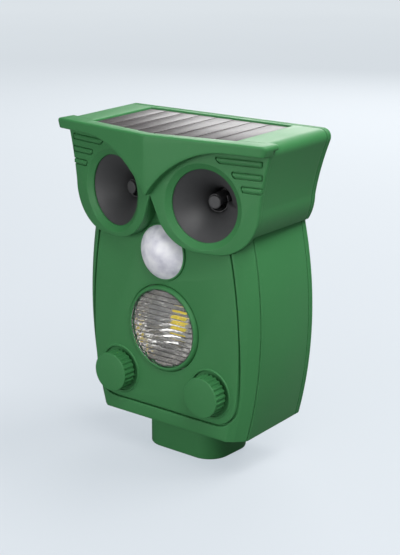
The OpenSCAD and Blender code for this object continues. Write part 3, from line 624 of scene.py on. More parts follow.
def solarCellMaterial():
    # dark cell under a clear coat, with speckle and fine collector lines across the strip
    mat, tree, shader = blankMaterial("solar cell")
    coords = addNode(tree, "ShaderNodeTexCoord")
    specks = noiseAt(tree, coords, 900.0, 6.0, in_Roughness=0.8)
    blocks = addNode(tree, "ShaderNodeTexVoronoi", {"Vector": coords.outputs["Object"]}, in_Scale=300.0)
    tint = rampOf(tree, specks.outputs["Fac"],
                  [(0.3, (0.012, 0.011, 0.012, 1)), (0.5, (0.045, 0.040, 0.042, 1)),
                   (0.75, (0.16, 0.15, 0.15, 1))])
    tone = rampOf(tree, blocks.outputs["Distance"], [(0.0, (0.8, 0.8, 0.85, 1)), (1.0, (1.25, 1.2, 1.15, 1))])
    base = mixed(tree, 0.6, tint, tone, "MULTIPLY")
    wave = addNode(tree, "ShaderNodeTexWave", {"Vector": coords.outputs["Object"]}, in_Scale=140.0,
                   wave_type="BANDS", bands_direction="Y")
    finger = rampOf(tree, wave.outputs["Fac"], [(0.93, (0, 0, 0, 1)), (0.99, (1, 1, 1, 1))])
    colour = mixed(tree, finger, base, (0.13, 0.12, 0.12, 1))
    rough = mapped(tree, specks.outputs["Fac"], 0.32, 0.6)
    tree.links.new(colour, shader.inputs["Base Color"])
    tree.links.new(rough.outputs[0], shader.inputs["Roughness"])
    shader.inputs["Specular IOR Level"].default_value = 0.25
    shader.inputs["Coat Weight"].default_value = 0.05
    shader.inputs["Coat Roughness"].default_value = 0.3
    return mat


def lensMaterial(middle, pitch):
    # clear plastic with painted shade: dark lines painted along the grooves between the ribs
    mat, tree, shader = blankMaterial("clear ribbed lens")
    coords = addNode(tree, "ShaderNodeTexCoord")
    parts = addNode(tree, "ShaderNodeSeparateXYZ", {0: coords.outputs["Object"]})
    rows = addNode(tree, "ShaderNodeMapRange", {"Value": parts.outputs["Z"]}, in_From_Min=middle - pitch / 2,
                   in_From_Max=middle + pitch / 2)
    rows.clamp = False
    turns = addNode(tree, "ShaderNodeMath", {0: rows.outputs[0]}, operation="PINGPONG")
    turns.inputs[1].default_value = 0.5
    # painted shade: the colour is darkened along the grooves between the ribs
    lines = rampOf(tree, turns.outputs[0], [(0.03, (0.12, 0.12, 0.12, 1)), (0.1, (1, 1, 1, 1))])
    haze = noiseAt(tree, coords, 500.0, 3.0)
    tint = rampOf(tree, haze.outputs["Fac"], [(0.3, (0.93, 0.93, 0.93, 1)), (0.7, (1, 1, 1, 1))])
    rough = mapped(tree, haze.outputs["Fac"], 0.0, 0.05)
    tree.links.new(mixed(tree, 1.0, tint, lines, "MULTIPLY"), shader.inputs["Base Color"])
    tree.links.new(rough.outputs[0], shader.inputs["Roughness"])
    shader.inputs["Transmission Weight"].default_value = 1.0
    shader.inputs["IOR"].default_value = 1.49
    return mat


def mirrorMaterial():
    # vacuum-coated plastic: bright, with faint clouding
    mat, tree, shader = blankMaterial("bright reflector")
    coords = addNode(tree, "ShaderNodeTexCoord")
    cloud = noiseAt(tree, coords, 260.0, 4.0)
    tint = rampOf(tree, cloud.outputs["Fac"], [(0.3, (0.74, 0.73, 0.72, 1)), (0.7, (0.96, 0.95, 0.93, 1))])
    rough = mapped(tree, cloud.outputs["Fac"], 0.06, 0.16)
    tree.links.new(tint, shader.inputs["Base Color"])
    tree.links.new(rough.outputs[0], shader.inputs["Roughness"])
    shader.inputs["Metallic"].default_value = 0.75
    return mat


def phosphorMaterial():
    mat, tree, shader = blankMaterial("yellow phosphor")
    coords = addNode(tree, "ShaderNodeTexCoord")
    grain = noiseAt(tree, coords, 1500.0, 3.0)
    tint = rampOf(tree, grain.outputs["Fac"], [(0.3, (0.85, 0.62, 0.03, 1)), (0.7, (1.0, 0.86, 0.12, 1))])
    tree.links.new(tint, shader.inputs["Base Color"])
    tree.links.new(tint, shader.inputs["Emission Color"])
    shader.inputs["Emission Strength"].default_value = 0.35
    shader.inputs["Roughness"].default_value = 0.5
    return mat


def boardMaterial(name, colour, copper):
    # solder mask over tracks, with pads
    mat, tree, shader = blankMaterial(name)
    coords = addNode(tree, "ShaderNodeTexCoord")
    bricks = addNode(tree, "ShaderNodeTexBrick", {"Vector": coords.outputs["Object"]}, in_Scale=160.0,
                     in_Mortar_Size=0.03, in_Color1=(*colour, 1), in_Color2=(*[c * 0.8 for c in colour], 1),
                     in_Mortar=(*copper, 1))
    cells = addNode(tree, "ShaderNodeTexVoronoi", {"Vector": coords.outputs["Object"]}, in_Scale=240.0)
    pads = rampOf(tree, cells.outputs["Distance"], [(0.12, (1, 1, 1, 1)), (0.16, (0, 0, 0, 1))])
    tint = mixed(tree, pads, bricks.outputs["Color"], (0.62, 0.6, 0.52, 1))
    tree.links.new(tint, shader.inputs["Base Color"])
    tree.links.new(rampOf(tree, pads, [(0, (0.45, 0.45, 0.45, 1)), (1, (0.25, 0.25, 0.25, 1))]),
                   shader.inputs["Roughness"])
    return mat


green = (0.044, 0.198, 0.066)
shellGreen = mouldedPlastic("moulded green shell", green)
knobGreen = mouldedPlastic("moulded green knob", green, roughness=0.5, grainScale=3200.0)
doorGreen = mouldedPlastic("moulded green door", tuple(c * 0.92 for c in green), roughness=0.46)
hornBlack = mouldedPlastic("moulded horn black", (0.055, 0.055, 0.058), roughness=0.5, drift=0.25, dust=0.02,
                           grainScale=1800.0, specular=0.5, wear=0.2)
innerBlack = mouldedPlastic("inner black", (0.017, 0.017, 0.018), roughness=0.5, drift=0.3)
rubber = mouldedPlastic("soft black rubber", (0.02, 0.02, 0.021), roughness=0.62, drift=0.3,
                        grainScale=1400.0,
                        grainDepth=0.00003, specular=0.3)
switchGrey = mouldedPlastic("switch grey", (0.42, 0.42, 0.4), roughness=0.5)
driverGrey = mouldedPlastic("driver casing", (0.04, 0.04, 0.042), roughness=0.4, drift=0.3)
controlBlue = mouldedPlastic("control casing", (0.035, 0.09, 0.2), roughness=0.4)
cellWrap = mouldedPlastic("cell sleeve", (0.04, 0.26, 0.08), roughness=0.25, specular=0.6)
leadRed = mouldedPlastic("red lead", (0.45, 0.03, 0.02), roughness=0.4)
leadBlack = mouldedPlastic("black lead", (0.015, 0.015, 0.016), roughness=0.4)
solarBase = mouldedPlastic("solar base", (0.17, 0.135, 0.13), roughness=0.5, drift=0.5, grainScale=1500.0)
steel = brushedMetal("plated steel", (0.60, 0.61, 0.63))
domeWhite = domeMaterial()
solarCell = solarCellMaterial()
reflectorSilver = mirrorMaterial()
phosphor = phosphorMaterial()
boardGreen = boardMaterial("green circuit board", (0.02, 0.13, 0.045), (0.05, 0.22, 0.08))
boardWhite = boardMaterial("white lamp board", (0.72, 0.72, 0.69), (0.6, 0.6, 0.55))
print("materials ready")


# Repeated shapes come from node trees with named inputs.
# Each tree ends in Realize Instances and Set Material.

def geoTree(name, inputs):
    tree = bpy.data.node_groups.new(name, "GeometryNodeTree")
    tree.is_modifier = True
    for label, kind, value in inputs:
        socket = tree.interface.new_socket(label, in_out="INPUT", socket_type="NodeSocket" + kind)
        if value is not None:
            socket.default_value = value
    tree.interface.new_socket("Geometry", in_out="OUTPUT", socket_type="NodeSocketGeometry")
    return tree, tree.nodes.new("NodeGroupInput"), tree.nodes.new("NodeGroupOutput")


def closeTree(tree, given, out, geometry):
    real = addNode(tree, "GeometryNodeRealizeInstances", {0: geometry})
    paint = addNode(tree, "GeometryNodeSetMaterial",
                    {"Geometry": real.outputs[0], "Material": given.outputs["Finish"]})
    tree.links.new(paint.outputs[0], out.inputs[0])


def grow(tree, name, material, **values):
    # a new object whose mesh is what the tree makes with these values
    obj = newPiece(name, bmesh.new())
    mod = obj.modifiers.new("pattern", "NODES")
    mod.node_group = tree
    ids = {item.name: item.identifier for item in tree.interface.items_tree if item.in_out == "INPUT"}
    mod[ids["Finish"]] = material
    for label, value in values.items():
        mod[ids[label.replace("_", " ")]] = value
    return applied(obj)


def ringTree():
    # round bars standing in a circle about Y, as the grooves of a knob need
    tree, given, out = geoTree("barsInRing", [
        ("Count", "Int", 24), ("Ring Radius", "Float", 10.0), ("Bar Radius", "Float", 0.75),
        ("Length", "Float", 8.0), ("Centre", "Vector", (0, 0, 0)), ("Sides", "Int", 10),
        ("Finish", "Material", None)])
    circle = addNode(tree, "GeometryNodeMeshCircle",
                     {"Vertices": given.outputs["Count"], "Radius": given.outputs["Ring Radius"]})
    bar = addNode(tree, "GeometryNodeMeshCylinder",
                  {"Vertices": given.outputs["Sides"], "Radius": given.outputs["Bar Radius"],
                   "Depth": given.outputs["Length"]})
    spread = addNode(tree, "GeometryNodeInstanceOnPoints",
                     {"Points": circle.outputs[0], "Instance": bar.outputs[0]})
    real = addNode(tree, "GeometryNodeRealizeInstances", {0: spread.outputs[0]})
    place = addNode(tree, "GeometryNodeTransform",
                    {"Geometry": real.outputs[0], "Translation": given.outputs["Centre"]},
                    in_Rotation=(math.pi / 2, 0, 0))
    closeTree(tree, given, out, place.outputs[0])
    return tree


def ribTree():
    # level ribs across a round window, each as long as the window is wide at its height
    tree, given, out = geoTree("ribsInWindow", [
        ("Count", "Int", 15), ("Window Radius", "Float", 19.0), ("Pitch", "Float", 2.4),
        ("Rib Radius", "Float", 1.0), ("Proud", "Float", 0.5), ("Centre", "Vector", (0, 0, 0)),
        ("Sides", "Int", 16), ("Finish", "Material", None)])
    less = addNode(tree, "ShaderNodeMath", {0: given.outputs["Count"]}, operation="SUBTRACT")
    less.inputs[1].default_value = 1
    reach = addNode(tree, "ShaderNodeMath", {0: less.outputs[0], 1: given.outputs["Pitch"]},
                    operation="MULTIPLY")
    half = addNode(tree, "ShaderNodeMath", {0: reach.outputs[0]}, operation="MULTIPLY")
    half.inputs[1].default_value = -0.5
    start = addNode(tree, "ShaderNodeCombineXYZ", {"Z": half.outputs[0]})
    step = addNode(tree, "ShaderNodeCombineXYZ", {"Z": given.outputs["Pitch"]})
    row = addNode(tree, "GeometryNodeMeshLine",
                  {"Count": given.outputs["Count"], "Start Location": start.outputs[0],
                   "Offset": step.outputs[0]})
    where = addNode(tree, "GeometryNodeInputPosition")
    parts = addNode(tree, "ShaderNodeSeparateXYZ", {0: where.outputs[0]})
    square = addNode(tree, "ShaderNodeMath", {0: parts.outputs["Z"], 1: parts.outputs["Z"]},
                     operation="MULTIPLY")
    whole = addNode(tree, "ShaderNodeMath",
                    {0: given.outputs["Window Radius"], 1: given.outputs["Window Radius"]},
                    operation="MULTIPLY")
    left = addNode(tree, "ShaderNodeMath", {0: whole.outputs[0], 1: square.outputs[0]}, operation="SUBTRACT")
    chord = addNode(tree, "ShaderNodeMath", {0: left.outputs[0]}, operation="SQRT")
    size = addNode(tree, "ShaderNodeCombineXYZ",
                   {"X": given.outputs["Rib Radius"], "Y": given.outputs["Proud"], "Z": chord.outputs[0]})
    bar = addNode(tree, "GeometryNodeMeshCylinder", {"Vertices": given.outputs["Sides"]}, in_Radius=1.0,
                  in_Depth=2.0)
    spread = addNode(tree, "GeometryNodeInstanceOnPoints",
                     {"Points": row.outputs[0], "Instance": bar.outputs[0], "Scale": size.outputs[0]},
                     in_Rotation=(0, math.pi / 2, 0))
    place = addNode(tree, "GeometryNodeTransform",
                    {"Geometry": spread.outputs[0], "Translation": given.outputs["Centre"]})
    closeTree(tree, given, out, place.outputs[0])
    return tree


def coilTree():
    # wire wound along Z between two radii, with flat end turns
    tree, given, out = geoTree("woundWire", [
        ("Turns", "Float", 4.0), ("Foot Radius", "Float", 4.0), ("Top Radius", "Float", 2.2),
        ("Height", "Float", 3.0), ("Wire", "Float", 0.3), ("Finish", "Material", None)])
    spiral = addNode(tree, "GeometryNodeCurveSpiral",
                     {"Rotations": given.outputs["Turns"], "Start Radius": given.outputs["Foot Radius"],
                      "End Radius": given.outputs["Top Radius"], "Height": given.outputs["Height"]},
                     in_Resolution=24)
    wire = addNode(tree, "GeometryNodeCurvePrimitiveCircle", {"Radius": given.outputs["Wire"]},
                   in_Resolution=8)
    tube = addNode(tree, "GeometryNodeCurveToMesh",
                   {"Curve": spiral.outputs[0], "Profile Curve": wire.outputs[0]})
    tube.inputs["Fill Caps"].default_value = True
    closeTree(tree, given, out, tube.outputs[0])
    return tree


barsInRing = ringTree()
ribsInWindow = ribTree()
woundWire = coilTree()
print("patterns ready")


# Outlines of the head. They share one side profile: a hollow arc over the round side of the lobe.

def flareCentre():
    h = headShape
    top = Vector((headHalf - 0.8, h["topZ"]))
    foot = Vector((h["lobeOut"] + h["lobeR"], h["lobeZ"]))
    chord = foot - top
    out = Vector((-chord.y, chord.x)).normalized()
    return (top + foot) / 2 + out * math.sqrt(h["flareR"] ** 2 - (chord.length / 2) ** 2)


flare = flareCentre()


def topAt(depth):
    return headShape["topZ"] + depth * headShape["tilt"]


def taperAt(z):
    # the sides lean in towards the back, less and less towards the top
    h = headShape
    share = max(0.0, min(1.0, (z - h["lobeZ"]) / (h["topZ"] - h["lobeZ"])))
    return h["footTaper"] + (h["topTaper"] - h["footTaper"]) * share ** 1.2


def tapered(points, depth):
    reach = headShape["taperFrom"]
    return [(x - depth * taperAt(z) * max(-1, min(1, x / reach)), z) for x, z in points]


def sideX(z, inset=0.0):
    h = headShape
    if z >= h["lobeZ"]:
        return flare.x - math.sqrt((h["flareR"] + inset) ** 2 - (z - flare.y) ** 2)
    return h["lobeOut"] + math.sqrt((h["lobeR"] - inset) ** 2 - (z - h["lobeZ"]) ** 2)


def headTop(top, inset, r):
    # from the middle of the top, round the corner and down the hollow side to the lobe's level
    h = headShape
    run = h["flareR"] + inset
    cz = top - r
    cx = flare.x - math.sqrt((run + r) ** 2 - (cz - flare.y) ** 2)
    turn = math.degrees(math.atan2(flare.y - cz, flare.x - cx))
    corner = arc(cx, cz, r, 90, turn, 10)
    low = corner[-1][1]
    side = [(sideX(low + (h["lobeZ"] - low) * k / 24, inset), low + (h["lobeZ"] - low) * k / 24)
            for k in range(1, 25)]
    return line((0, top), (cx, top), 6) + corner[1:] + side


def blockHalf2d(top, inset, r):
    h = headShape
    foot = headZ + inset
    run = h["lobeR"] - inset
    low = math.degrees(math.asin((foot - h["lobeZ"]) / run))
    turn = arc(h["lobeOut"], h["lobeZ"], run, 0, low, 10)
    return headTop(top, inset, r) + turn[1:] + line(turn[-1], (0, foot), 6)[1:]


def noseApex(inset):
    h = headShape
    run = h["lobeR"] - inset
    turn = h["noseTurn"]
    return h["lobeZ"] - run * math.sin(turn) + (h["lobeIn"] - run * math.cos(turn)) / math.tan(turn)


def lobeLoop(inset):
    # from the outer side of a lobe, under the eye and up to the notch of the nose
    h = headShape
    run = h["lobeR"] - inset
    turn = 180 + math.degrees(h["noseTurn"])
    outer = arc(h["lobeOut"], h["lobeZ"], run, 0, -90, 20)
    inner = arc(h["lobeIn"], h["lobeZ"], run, -90, turn - 360, 20)
    return outer + inner + line(inner[-1], (0, noseApex(inset)), 6)[1:]


def faceHalf2d(top, inset, r):
    return headTop(top, inset, r) + lobeLoop(inset)[1:]


def vPlane(out):
    # depth of the plane that both eyes lie in, at a distance out from the middle
    return -headShape["plateOut"] + abs(out) * yawRun


def vWedge(name, reach):
    # all that lies in front of a V shaped pair of planes, moved back by reach
    far = headHalf + 20
    plan = [(-far, vPlane(far) + reach), (0, vPlane(0) + reach), (far, vPlane(far) + reach), (far, -60),
            (-far, -60)]
    return skin(name, [[Vector((x, at(d), z)) for x, d in plan] for z in (headZ - 40, headZ + 80)])


def eyeAxis(side):
    yaw = headShape["yaw"]
    along = eyeShape["along"]
    y = at(-headShape["plateOut"]) + along * math.sin(yaw)
    return Vector((side * along * math.cos(yaw), y, eyeShape["z"])), Vector((-side * math.sin(yaw),
                                                                             math.cos(yaw), 0))


def hornRoom(side, start=-6.0):
    centre, axis = eyeAxis(side)
    play, reach = 1.8, 36
    r = eyeShape["mouthR"] + play
    return revolve("hornRoom", [(r, start), (r, reach)], centre, axis)


def plateHalf(name, insets, plateTop):
    # right half of a plate in the eyes' plane; insets are (inset, distance behind the front face)
    rings = []
    for inset, back in insets:
        ring = []
        for x, z in faceHalf2d(plateTop, inset, 0.4):
            d = vPlane(x) + back
            ring.append(Vector((tapered([(x, z)], d)[0][0], at(d), z)))
        rings.append(ring)
    return skin(name, rings)


def plateSolid(name, insets, plateTop):
    right = plateHalf(name, insets, plateTop)
    return fuse(right, mirrored(right, name + "Left"))


def plateRoom():
    # cutter that leaves room for the eye plate
    play = 0.2
    return plateSolid("plateRoom", [(-play, -1), (-play, headShape["plateT"] + play)], topAt(0))


def roundHole(r, x, z, front, lip=0.3, steps=96):
    # cutter for a hole along the depth, with a rounded lip at the front
    profile = [(r + lip, front - 30)] + roundIn(lip, front, fineTurn, r) + [(r, front + 40)]
    return turned("hole", profile, x, z, steps)


# Case

panelSettings = {"edge": 0.5, "edgeTurn": (0, 25, 50, 72, 90), "collarIn": 1.5, "collarOut": 2.4,
                 "collarSunk": 0.9, "lensLip": 0.5, "lensPlay": 0.25, "shaftPlay": 1.3, "holeLip": 0.2}


def frontPanel(opts):
    front = caseShape["panelD"]
    loops = [(0, backD)] + roundIn(opts["edge"], front, opts["edgeTurn"])[::-1]
    panel = skin("frontPanel", [upright(bothHalves(panelHalf2d(i)), d) for i, d in loops])
    knobR = boxMm("right_knob")[1].x - knobX
    shaftR = boxMm("right_shaft")[1].x - knobX
    inner, outer = knobR + opts["collarIn"], knobR + opts["collarOut"]
    sunk = front + opts["collarSunk"]
    collar = [(outer + 0.25, front + 0.4), (outer + 0.1, front - 0.02), (outer, front - 0.3),
              (outer - 0.25, front - 0.4), (inner + 0.25, front - 0.4), (inner, front - 0.3),
              (inner - 0.02, sunk + 0.1), (inner + 0.3, sunk + 0.1)]
    for x in (-knobX, knobX):
        cut(panel, rod("recess", inner, front - 1, sunk, x, knobZ, 96))
        fuse(panel, turned("collar", collar, x, knobZ, closed=True))
        cut(panel, roundHole(shaftR + opts["shaftPlay"], x, knobZ, front, opts["holeLip"]))
    cut(panel, roundHole(boxMm("lens_ring")[1].x + opts["lensPlay"], 0, lensZ, front, opts["lensLip"]))
    cut(panel, roundHole(boxMm("pir_ring")[1].x, 0, domeZ, front, opts["holeLip"]))
    cut(panel, hornRoom(-1), hornRoom(1), plateRoom())
    finishPiece(panel, shellGreen, "case", "case_green", "front_panel")


frontPanel(panelSettings)
print("front panel made")

frameSettings = {"seam": 0.35, "slotW": 0.3, "slotD": 1.0, "footRound": 0.5, "creaseRound": 1.0,
                 "corner": 1.2, "lip": 0.2}


def sideStack(name, profile, levels):
    # stack of level sections; the profile gives (in from the side, depth) from the middle outwards
    s = caseShape
    cx = bodyHalf - s["sideR"]
    rings = []
    for z in levels:
        right = [(cx + math.sqrt((s["sideR"] - i) ** 2 - (z - s["bowZ"]) ** 2), d) for i, d in profile]
        loop = right + [(-x, d) for x, d in reversed(right)]
        rings.append([Vector((x, at(d), z)) for x, d in loop])
    return skin(name, rings)


def frontFrame(opts):
    s = caseShape
    corners = [(20, s["panelD"]), (s["chamfer"] + s["shoulder"], s["panelD"]), (s["chamfer"], s["creaseD"]),
               (0, seamD + 0.4), (0, seamD + 2)]
    profile = roundPath(corners, [0, 2.0, opts["creaseRound"], 0.8, 0], 6)
    levels = [bodyZ - 2 + (headZ - bodyZ + 2) * k / 48 for k in range(49)]
    block = sideStack("frontFrame", profile, levels)
    front = roundIn(opts["footRound"], s["panelD"])
    back = seamEdge(seamD, -1, opts)
    loops = [(0, front[0][0], front[0][1] - 5)] + [(0, i, d) for i, d in front] + [(i, i, d) for i, d in back]
    limit = skin("limit", [upright(bothHalves(bodyHalf2d(side, foot, opts["corner"])), d)
                           for side, foot, d in loops])
    combine(block, limit, "INTERSECT")
    g, lip = s["groove"], opts["lip"]
    rings = [(g + lip, -3)] + roundIn(lip, s["panelD"], base=g) + [(g, backD), (-3, backD), (-3, seamD + 3)]
    cut(block, skin("opening", [upright(openTop(panelHalf2d(-i), 2), d) for i, d in rings]))
    cut(block, hornRoom(-1), hornRoom(1), plateRoom())
    finishPiece(block, shellGreen, "case", "case_green", "front_frame")


frontFrame(frameSettings)
print("front frame made")

socketSettings = {"corner": 11.4, "bossR": 13.0, "boreR": 10.0, "boreDepth": 26.0, "edge": 1.0,
                  "topEdge": 0.4, "into": 1.7}
bodySettings = {"seam": 0.35, "slotW": 0.3, "slotD": 1.0, "corner": 1.2, "inCorner": 0.6, "bossR": 4.2,
                "bossX": 40.25, "bossUp": 11.0, "bossIn": 14.0, "bossPlay": 0.02, "pilot": 1.25, "web": 2.0,
                "webUp": 2.5, "socketPlay": 0.1}


def bodyShell(opts):
    s = caseShape
    w = s["wall"]
    sections = seamEdge(seamD, 1, opts) + seamEdge(coverD, -1, opts)
    shell = skin("bodyShell", [upright(bothHalves(bodyHalf2d(i, i + footRise(d), opts["corner"])), d)
                               for i, d in sections])
    room = [upright(openTop(bodyHalf2d(w, w + footRise(d), opts["inCorner"]), 2), d)
            for d in (seamD - 2, seamD, coverD + 2)]
    cut(shell, skin("room", room))
    start, end, web = opts["bossIn"], coverD - opts["bossPlay"], opts["web"] / 2
    for x in (-opts["bossX"], opts["bossX"]):
        z = bodyZ + opts["bossUp"]
        fuse(shell, rod("boss", opts["bossR"], start, end, x, z),
             boxPiece("web", (x - web, at(start), bodyZ + opts["webUp"]), (x + web, at(coverD - 2), z)))
        cut(shell, rod("pilot", opts["pilot"], start + 4, coverD + 1, x, z, 32))
    lo, hi = boxMm("stake_socket")
    hole = socketSettings["bossR"] + opts["socketPlay"]
    cut(shell, revolve("floorHole", [(hole, 5), (hole, 40)], (0, (lo.y + hi.y) / 2, 0), (0, 0, 1)))
    cut(shell, hornRoom(-1), hornRoom(1))
    finishPiece(shell, shellGreen, "case", "case_green", "body_shell")


bodyShell(bodySettings)
print("body shell made")


def roundedRectangle(halfX, halfY, corner, steps=10):
    out = []
    for sx, sy, start in ((1, 1, 0), (-1, 1, 90), (-1, -1, 180), (1, -1, 270)):
        out += arc(sx * (halfX - corner), sy * (halfY - corner), corner, start, start + 90, steps)
    return out


def stakeSocket(opts):
    halfX, halfY, top = boxMm("stake_socket")[1]
    e, t = opts["edge"], opts["topEdge"]
    foot = roundIn(e, 0, fineTurn)
    block = skin("stakeSocket", [
        [Vector((x, y, z)) for x, y in roundedRectangle(halfX - i, halfY - i, opts["corner"] - i)]
        for i, z in foot + [(0, bodyZ + opts["into"])]])
    r = opts["bossR"]
    fuse(block, revolve("boss", [(r, 1), (r, top - t), (r - t, top)], (0, 0, 0), (0, 0, 1)))
    r, depth = opts["boreR"], opts["boreDepth"]
    mouth = [(r + 6, -5), (r + 1, -0.01), (r + 0.4, 0.2), (r, 0.9)]
    bore = revolve("bore", mouth + [(r, depth)], (0, 0, 0), (0, 0, 1))
    cut(block, bore)
    finishPiece(block, shellGreen, "case", "case_green", "stake_socket")


stakeSocket(socketSettings)
print("stake socket made")

headSettings = {"wall": 2.4, "drop": 4.6, "corner": 4.6, "seam": 0.4, "slotW": 0.3, "slotD": 1.0,
                "sink": 2.2, "solarHalf": 44.5, "solarNose": -7.0, "solarBack": 44.1, "recessLip": 0.5,
                "bossX": 53.5, "bossZ": 152.2, "bossIn": 20.0, "wireHole": (8.0, 12.0, 4.0),
                "panelHole": (4.0, 9.0, 5.0), "panelHoleZ": (-12.0, 8.0)}


def ringAt(half, depth):
    return [Vector((x, at(depth), z)) for x, z in tapered(bothHalves(half), depth)]


def headRing(inset, depth, corner):
    return ringAt(blockHalf2d(topAt(depth) - inset, inset, corner - inset), depth)


def headBlock(name, d0, d1, inset, drop, corner):
    count = 12
    depths = [d0 + (d1 - d0) * k / count for k in range(count + 1)]
    return skin(name, [ringAt(blockHalf2d(topAt(d) - drop - inset, inset, corner - 1), d) for d in depths])


def lobePrism(name, d0, d1, inset, drop, corner):
    return skin(name, [ringAt(faceHalf2d(topAt(d) - drop, inset, corner), d)
                       for d in (d0, (d0 + d1) / 2, d1)])


def solarPlan(grown, opts):
    half = opts["solarHalf"] + grown
    nose = opts["solarNose"] - grown
    back = opts["solarBack"] + grown
    return [(0, nose), (half, nose + half * yawRun), (half, back), (-half, back),
            (-half, nose + half * yawRun)]


def solarPrism(name, levels, opts):
    # levels are (height over the head's top, growth of the plan)
    return skin(name, [[Vector((x, at(d), topAt(d) + up)) for x, d in solarPlan(grown, opts)]
                       for up, grown in levels])


browSettings = {"out": 4.15, "run": 0.128, "archR": 54.0, "archX": 45.42, "archZ": 108.2, "endZ": 162.2,
                "proud": 0.8, "topRound": 1.0, "footRound": 0.4, "flange": 2.4, "flangeBack": 3.6,
                "endRound": 2.8, "endBack": 1.6, "topDrop": 0.85, "evenX": 40.0, "fine": 4.5,
                "reach": 60.0}


def browFoot(x, opts):
    x = math.sqrt(x * x + 0.09)
    if x >= opts["archX"]:
        return opts["endZ"]
    return opts["archZ"] + math.sqrt(opts["archR"] ** 2 - (x - opts["archX"]) ** 2)


def browSection(x, over, opts):
    # section of the brow at a distance from the middle
    # over is how far it is past the start of the end's round
    half = abs(x)
    drop = opts["endRound"] - math.sqrt(max(0, opts["endRound"] ** 2 - max(0, over) ** 2))
    back = opts["endBack"] * (1 - math.sqrt(max(0, 1 - (max(0, over) / opts["endRound"]) ** 2)))
    top = topAt(vPlane(half)) - drop * opts["topDrop"]
    foot = browFoot(half, opts)
    out = -headShape["plateOut"] - opts["out"]

    def front(z):
        fade = 0.3 + 2.7 * (1 - (z - noseApex(0)) / (headShape["topZ"] - noseApex(0)))
        return out + opts["run"] * math.sqrt(half * half + max(0.3, fade) ** 2) + back

    flange = max(foot + 0.2, topAt(vPlane(half)) - opts["flange"])
    flange = min(flange, top - 0.3)
    r, q = opts["topRound"], min(opts["footRound"], (flange - foot) / 2)
    plane = vPlane(half)
    ring = []
    for a in np.radians([0, 30, 60, 90]):
        ring.append((front(foot) + q * (1 - math.sin(a)), foot + q * (1 - math.cos(a))))
    for k in range(1, 6):
        z = foot + q + (top - r - foot - q) * k / 6
        ring.append((front(z), z))
    for a in np.radians([0, 22, 45, 67, 90]):
        ring.append((front(top) + r * (1 - math.cos(a)), top - r * (1 - math.sin(a))))
    ring += [(plane + opts["flangeBack"], top), (plane + opts["flangeBack"], flange), (plane + 0.05, flange),
             (plane + 0.05, foot)]
    return ring


def brow(opts):
    # stations from the middle to the end, closer together at the nose
    fine = opts["fine"]
    rest = [0, 0.3, 0.8, 1.6, 2.8, fine]
    rest += [fine + (opts["reach"] - fine) * k / 34 for k in range(1, 35)]
    endX = sideX(headShape["topZ"] - 1, 0) + opts["proud"]
    start = endX - opts["endRound"]
    turn = [start + opts["endRound"] * math.sin(a) for a in np.radians([0, 15, 30, 45, 60, 75, 88])]
    halves = [x for x in rest if x < start - 0.3] + turn
    stations = [-x for x in reversed(halves[1:])] + halves
    rings = []
    for x in stations:
        ring = []
        for d, z in browSection(x, abs(x) - start, opts):
            reach = sideX(max(z, opts["endZ"] - 1), 0) + opts["proud"] - d * taperAt(z)
            share = min(1.0, abs(x) / opts["evenX"])
            ring.append(Vector((x * (1 + (reach / endX - 1) * share), at(d), z)))
        rings.append(ring)
    return skin("brow", rings)


def headShell(opts):
    h = headShape
    w = opts["wall"]
    sections = [(0, caseShape["panelD"])] + [(0, 2 + (coverD - 4) * k / 12) for k in range(13)]
    sections += seamEdge(coverD, -1, opts)
    shell = skin("headShell", [headRing(i, d, opts["corner"]) for i, d in sections])
    lobes = lobePrism("lobes", -12, caseShape["panelD"] + 0.6, 0, 0, opts["corner"])
    fuse(shell, lobes)
    cut(shell, vWedge("front", h["plateT"]))
    fuse(shell, brow(browSettings))
    room = headBlock("room", backD + 0.4, coverD + 2, w, opts["drop"], 2.2)
    fuse(room, lobePrism("lobeRoom", -12, backD + 0.6, w, opts["drop"], 2.2))
    cut(room, vWedge("front", h["plateT"] - 0.05))
    bossR, pilot, start = bodySettings["bossR"], bodySettings["pilot"], opts["bossIn"]
    for x in (-opts["bossX"], opts["bossX"]):
        cut(room, rod("boss", bossR, start, coverD + 3, x, opts["bossZ"]))
    cut(shell, room)
    for side in (-1, 1):
        cut(shell, rod("pilot", pilot, start + 4, coverD + 3, side * opts["bossX"], opts["bossZ"], 32),
            hornRoom(side, h["plateT"] + 0.05))
    lip = opts["recessLip"]
    rim = [(up, grown) for grown, up in roundOut(lip, 0)]
    levels = [(-opts["sink"], 0)] + rim + [(6, lip)]
    cut(shell, solarPrism("recess", levels, opts))
    low, high = opts["panelHoleZ"]
    for hole, z0, z1 in (("wireHole", headZ - 1, headZ + w + 1),
                         ("panelHole", h["topZ"] + low, h["topZ"] + high)):
        half, far, near = opts[hole]
        cut(shell, boxPiece(hole, (-half, at(coverD - far), z0), (half, at(coverD - near), z1)))
    finishPiece(shell, shellGreen, "case", "case_green", "head_shell", sharp=28)


headShell(headSettings)
print("head shell made")

plateSettings = {"edge": 0.6, "starts": (33.95, 42.95, 48.15), "slants": (3.4, 1.8, 0.9), "end": 58.4,
                 "topBar": 157.8, "pitch": 6.2, "barH": 2.2, "gap": 0.55, "sunk": 0.9, "proud": 0.45}


def featherLoop(x0, x1, z, h, slant):
    # bar with a slanted inner end and a nearly square outer end
    corners = [(x0, z + h / 2), (x1, z + h / 2), (x1, z - h / 2), (x0 + slant, z - h / 2)]
    return roundPath(corners, [0.3 * h, 0.2 * h, 0.2 * h, 0.3 * h], 4, closed=True)


def featherSolid(side, x0, x1, z, h, slant, steps):
    # steps are (inset, distance behind the plate's front)
    rings = []
    for inset, back in steps:
        loop = featherLoop(x0 + inset, x1 - inset, z, h - 2 * inset, slant)
        rings.append([Vector((side * x, at(vPlane(x) + back), zz)) for x, zz in loop])
    return skin("feather", rings)


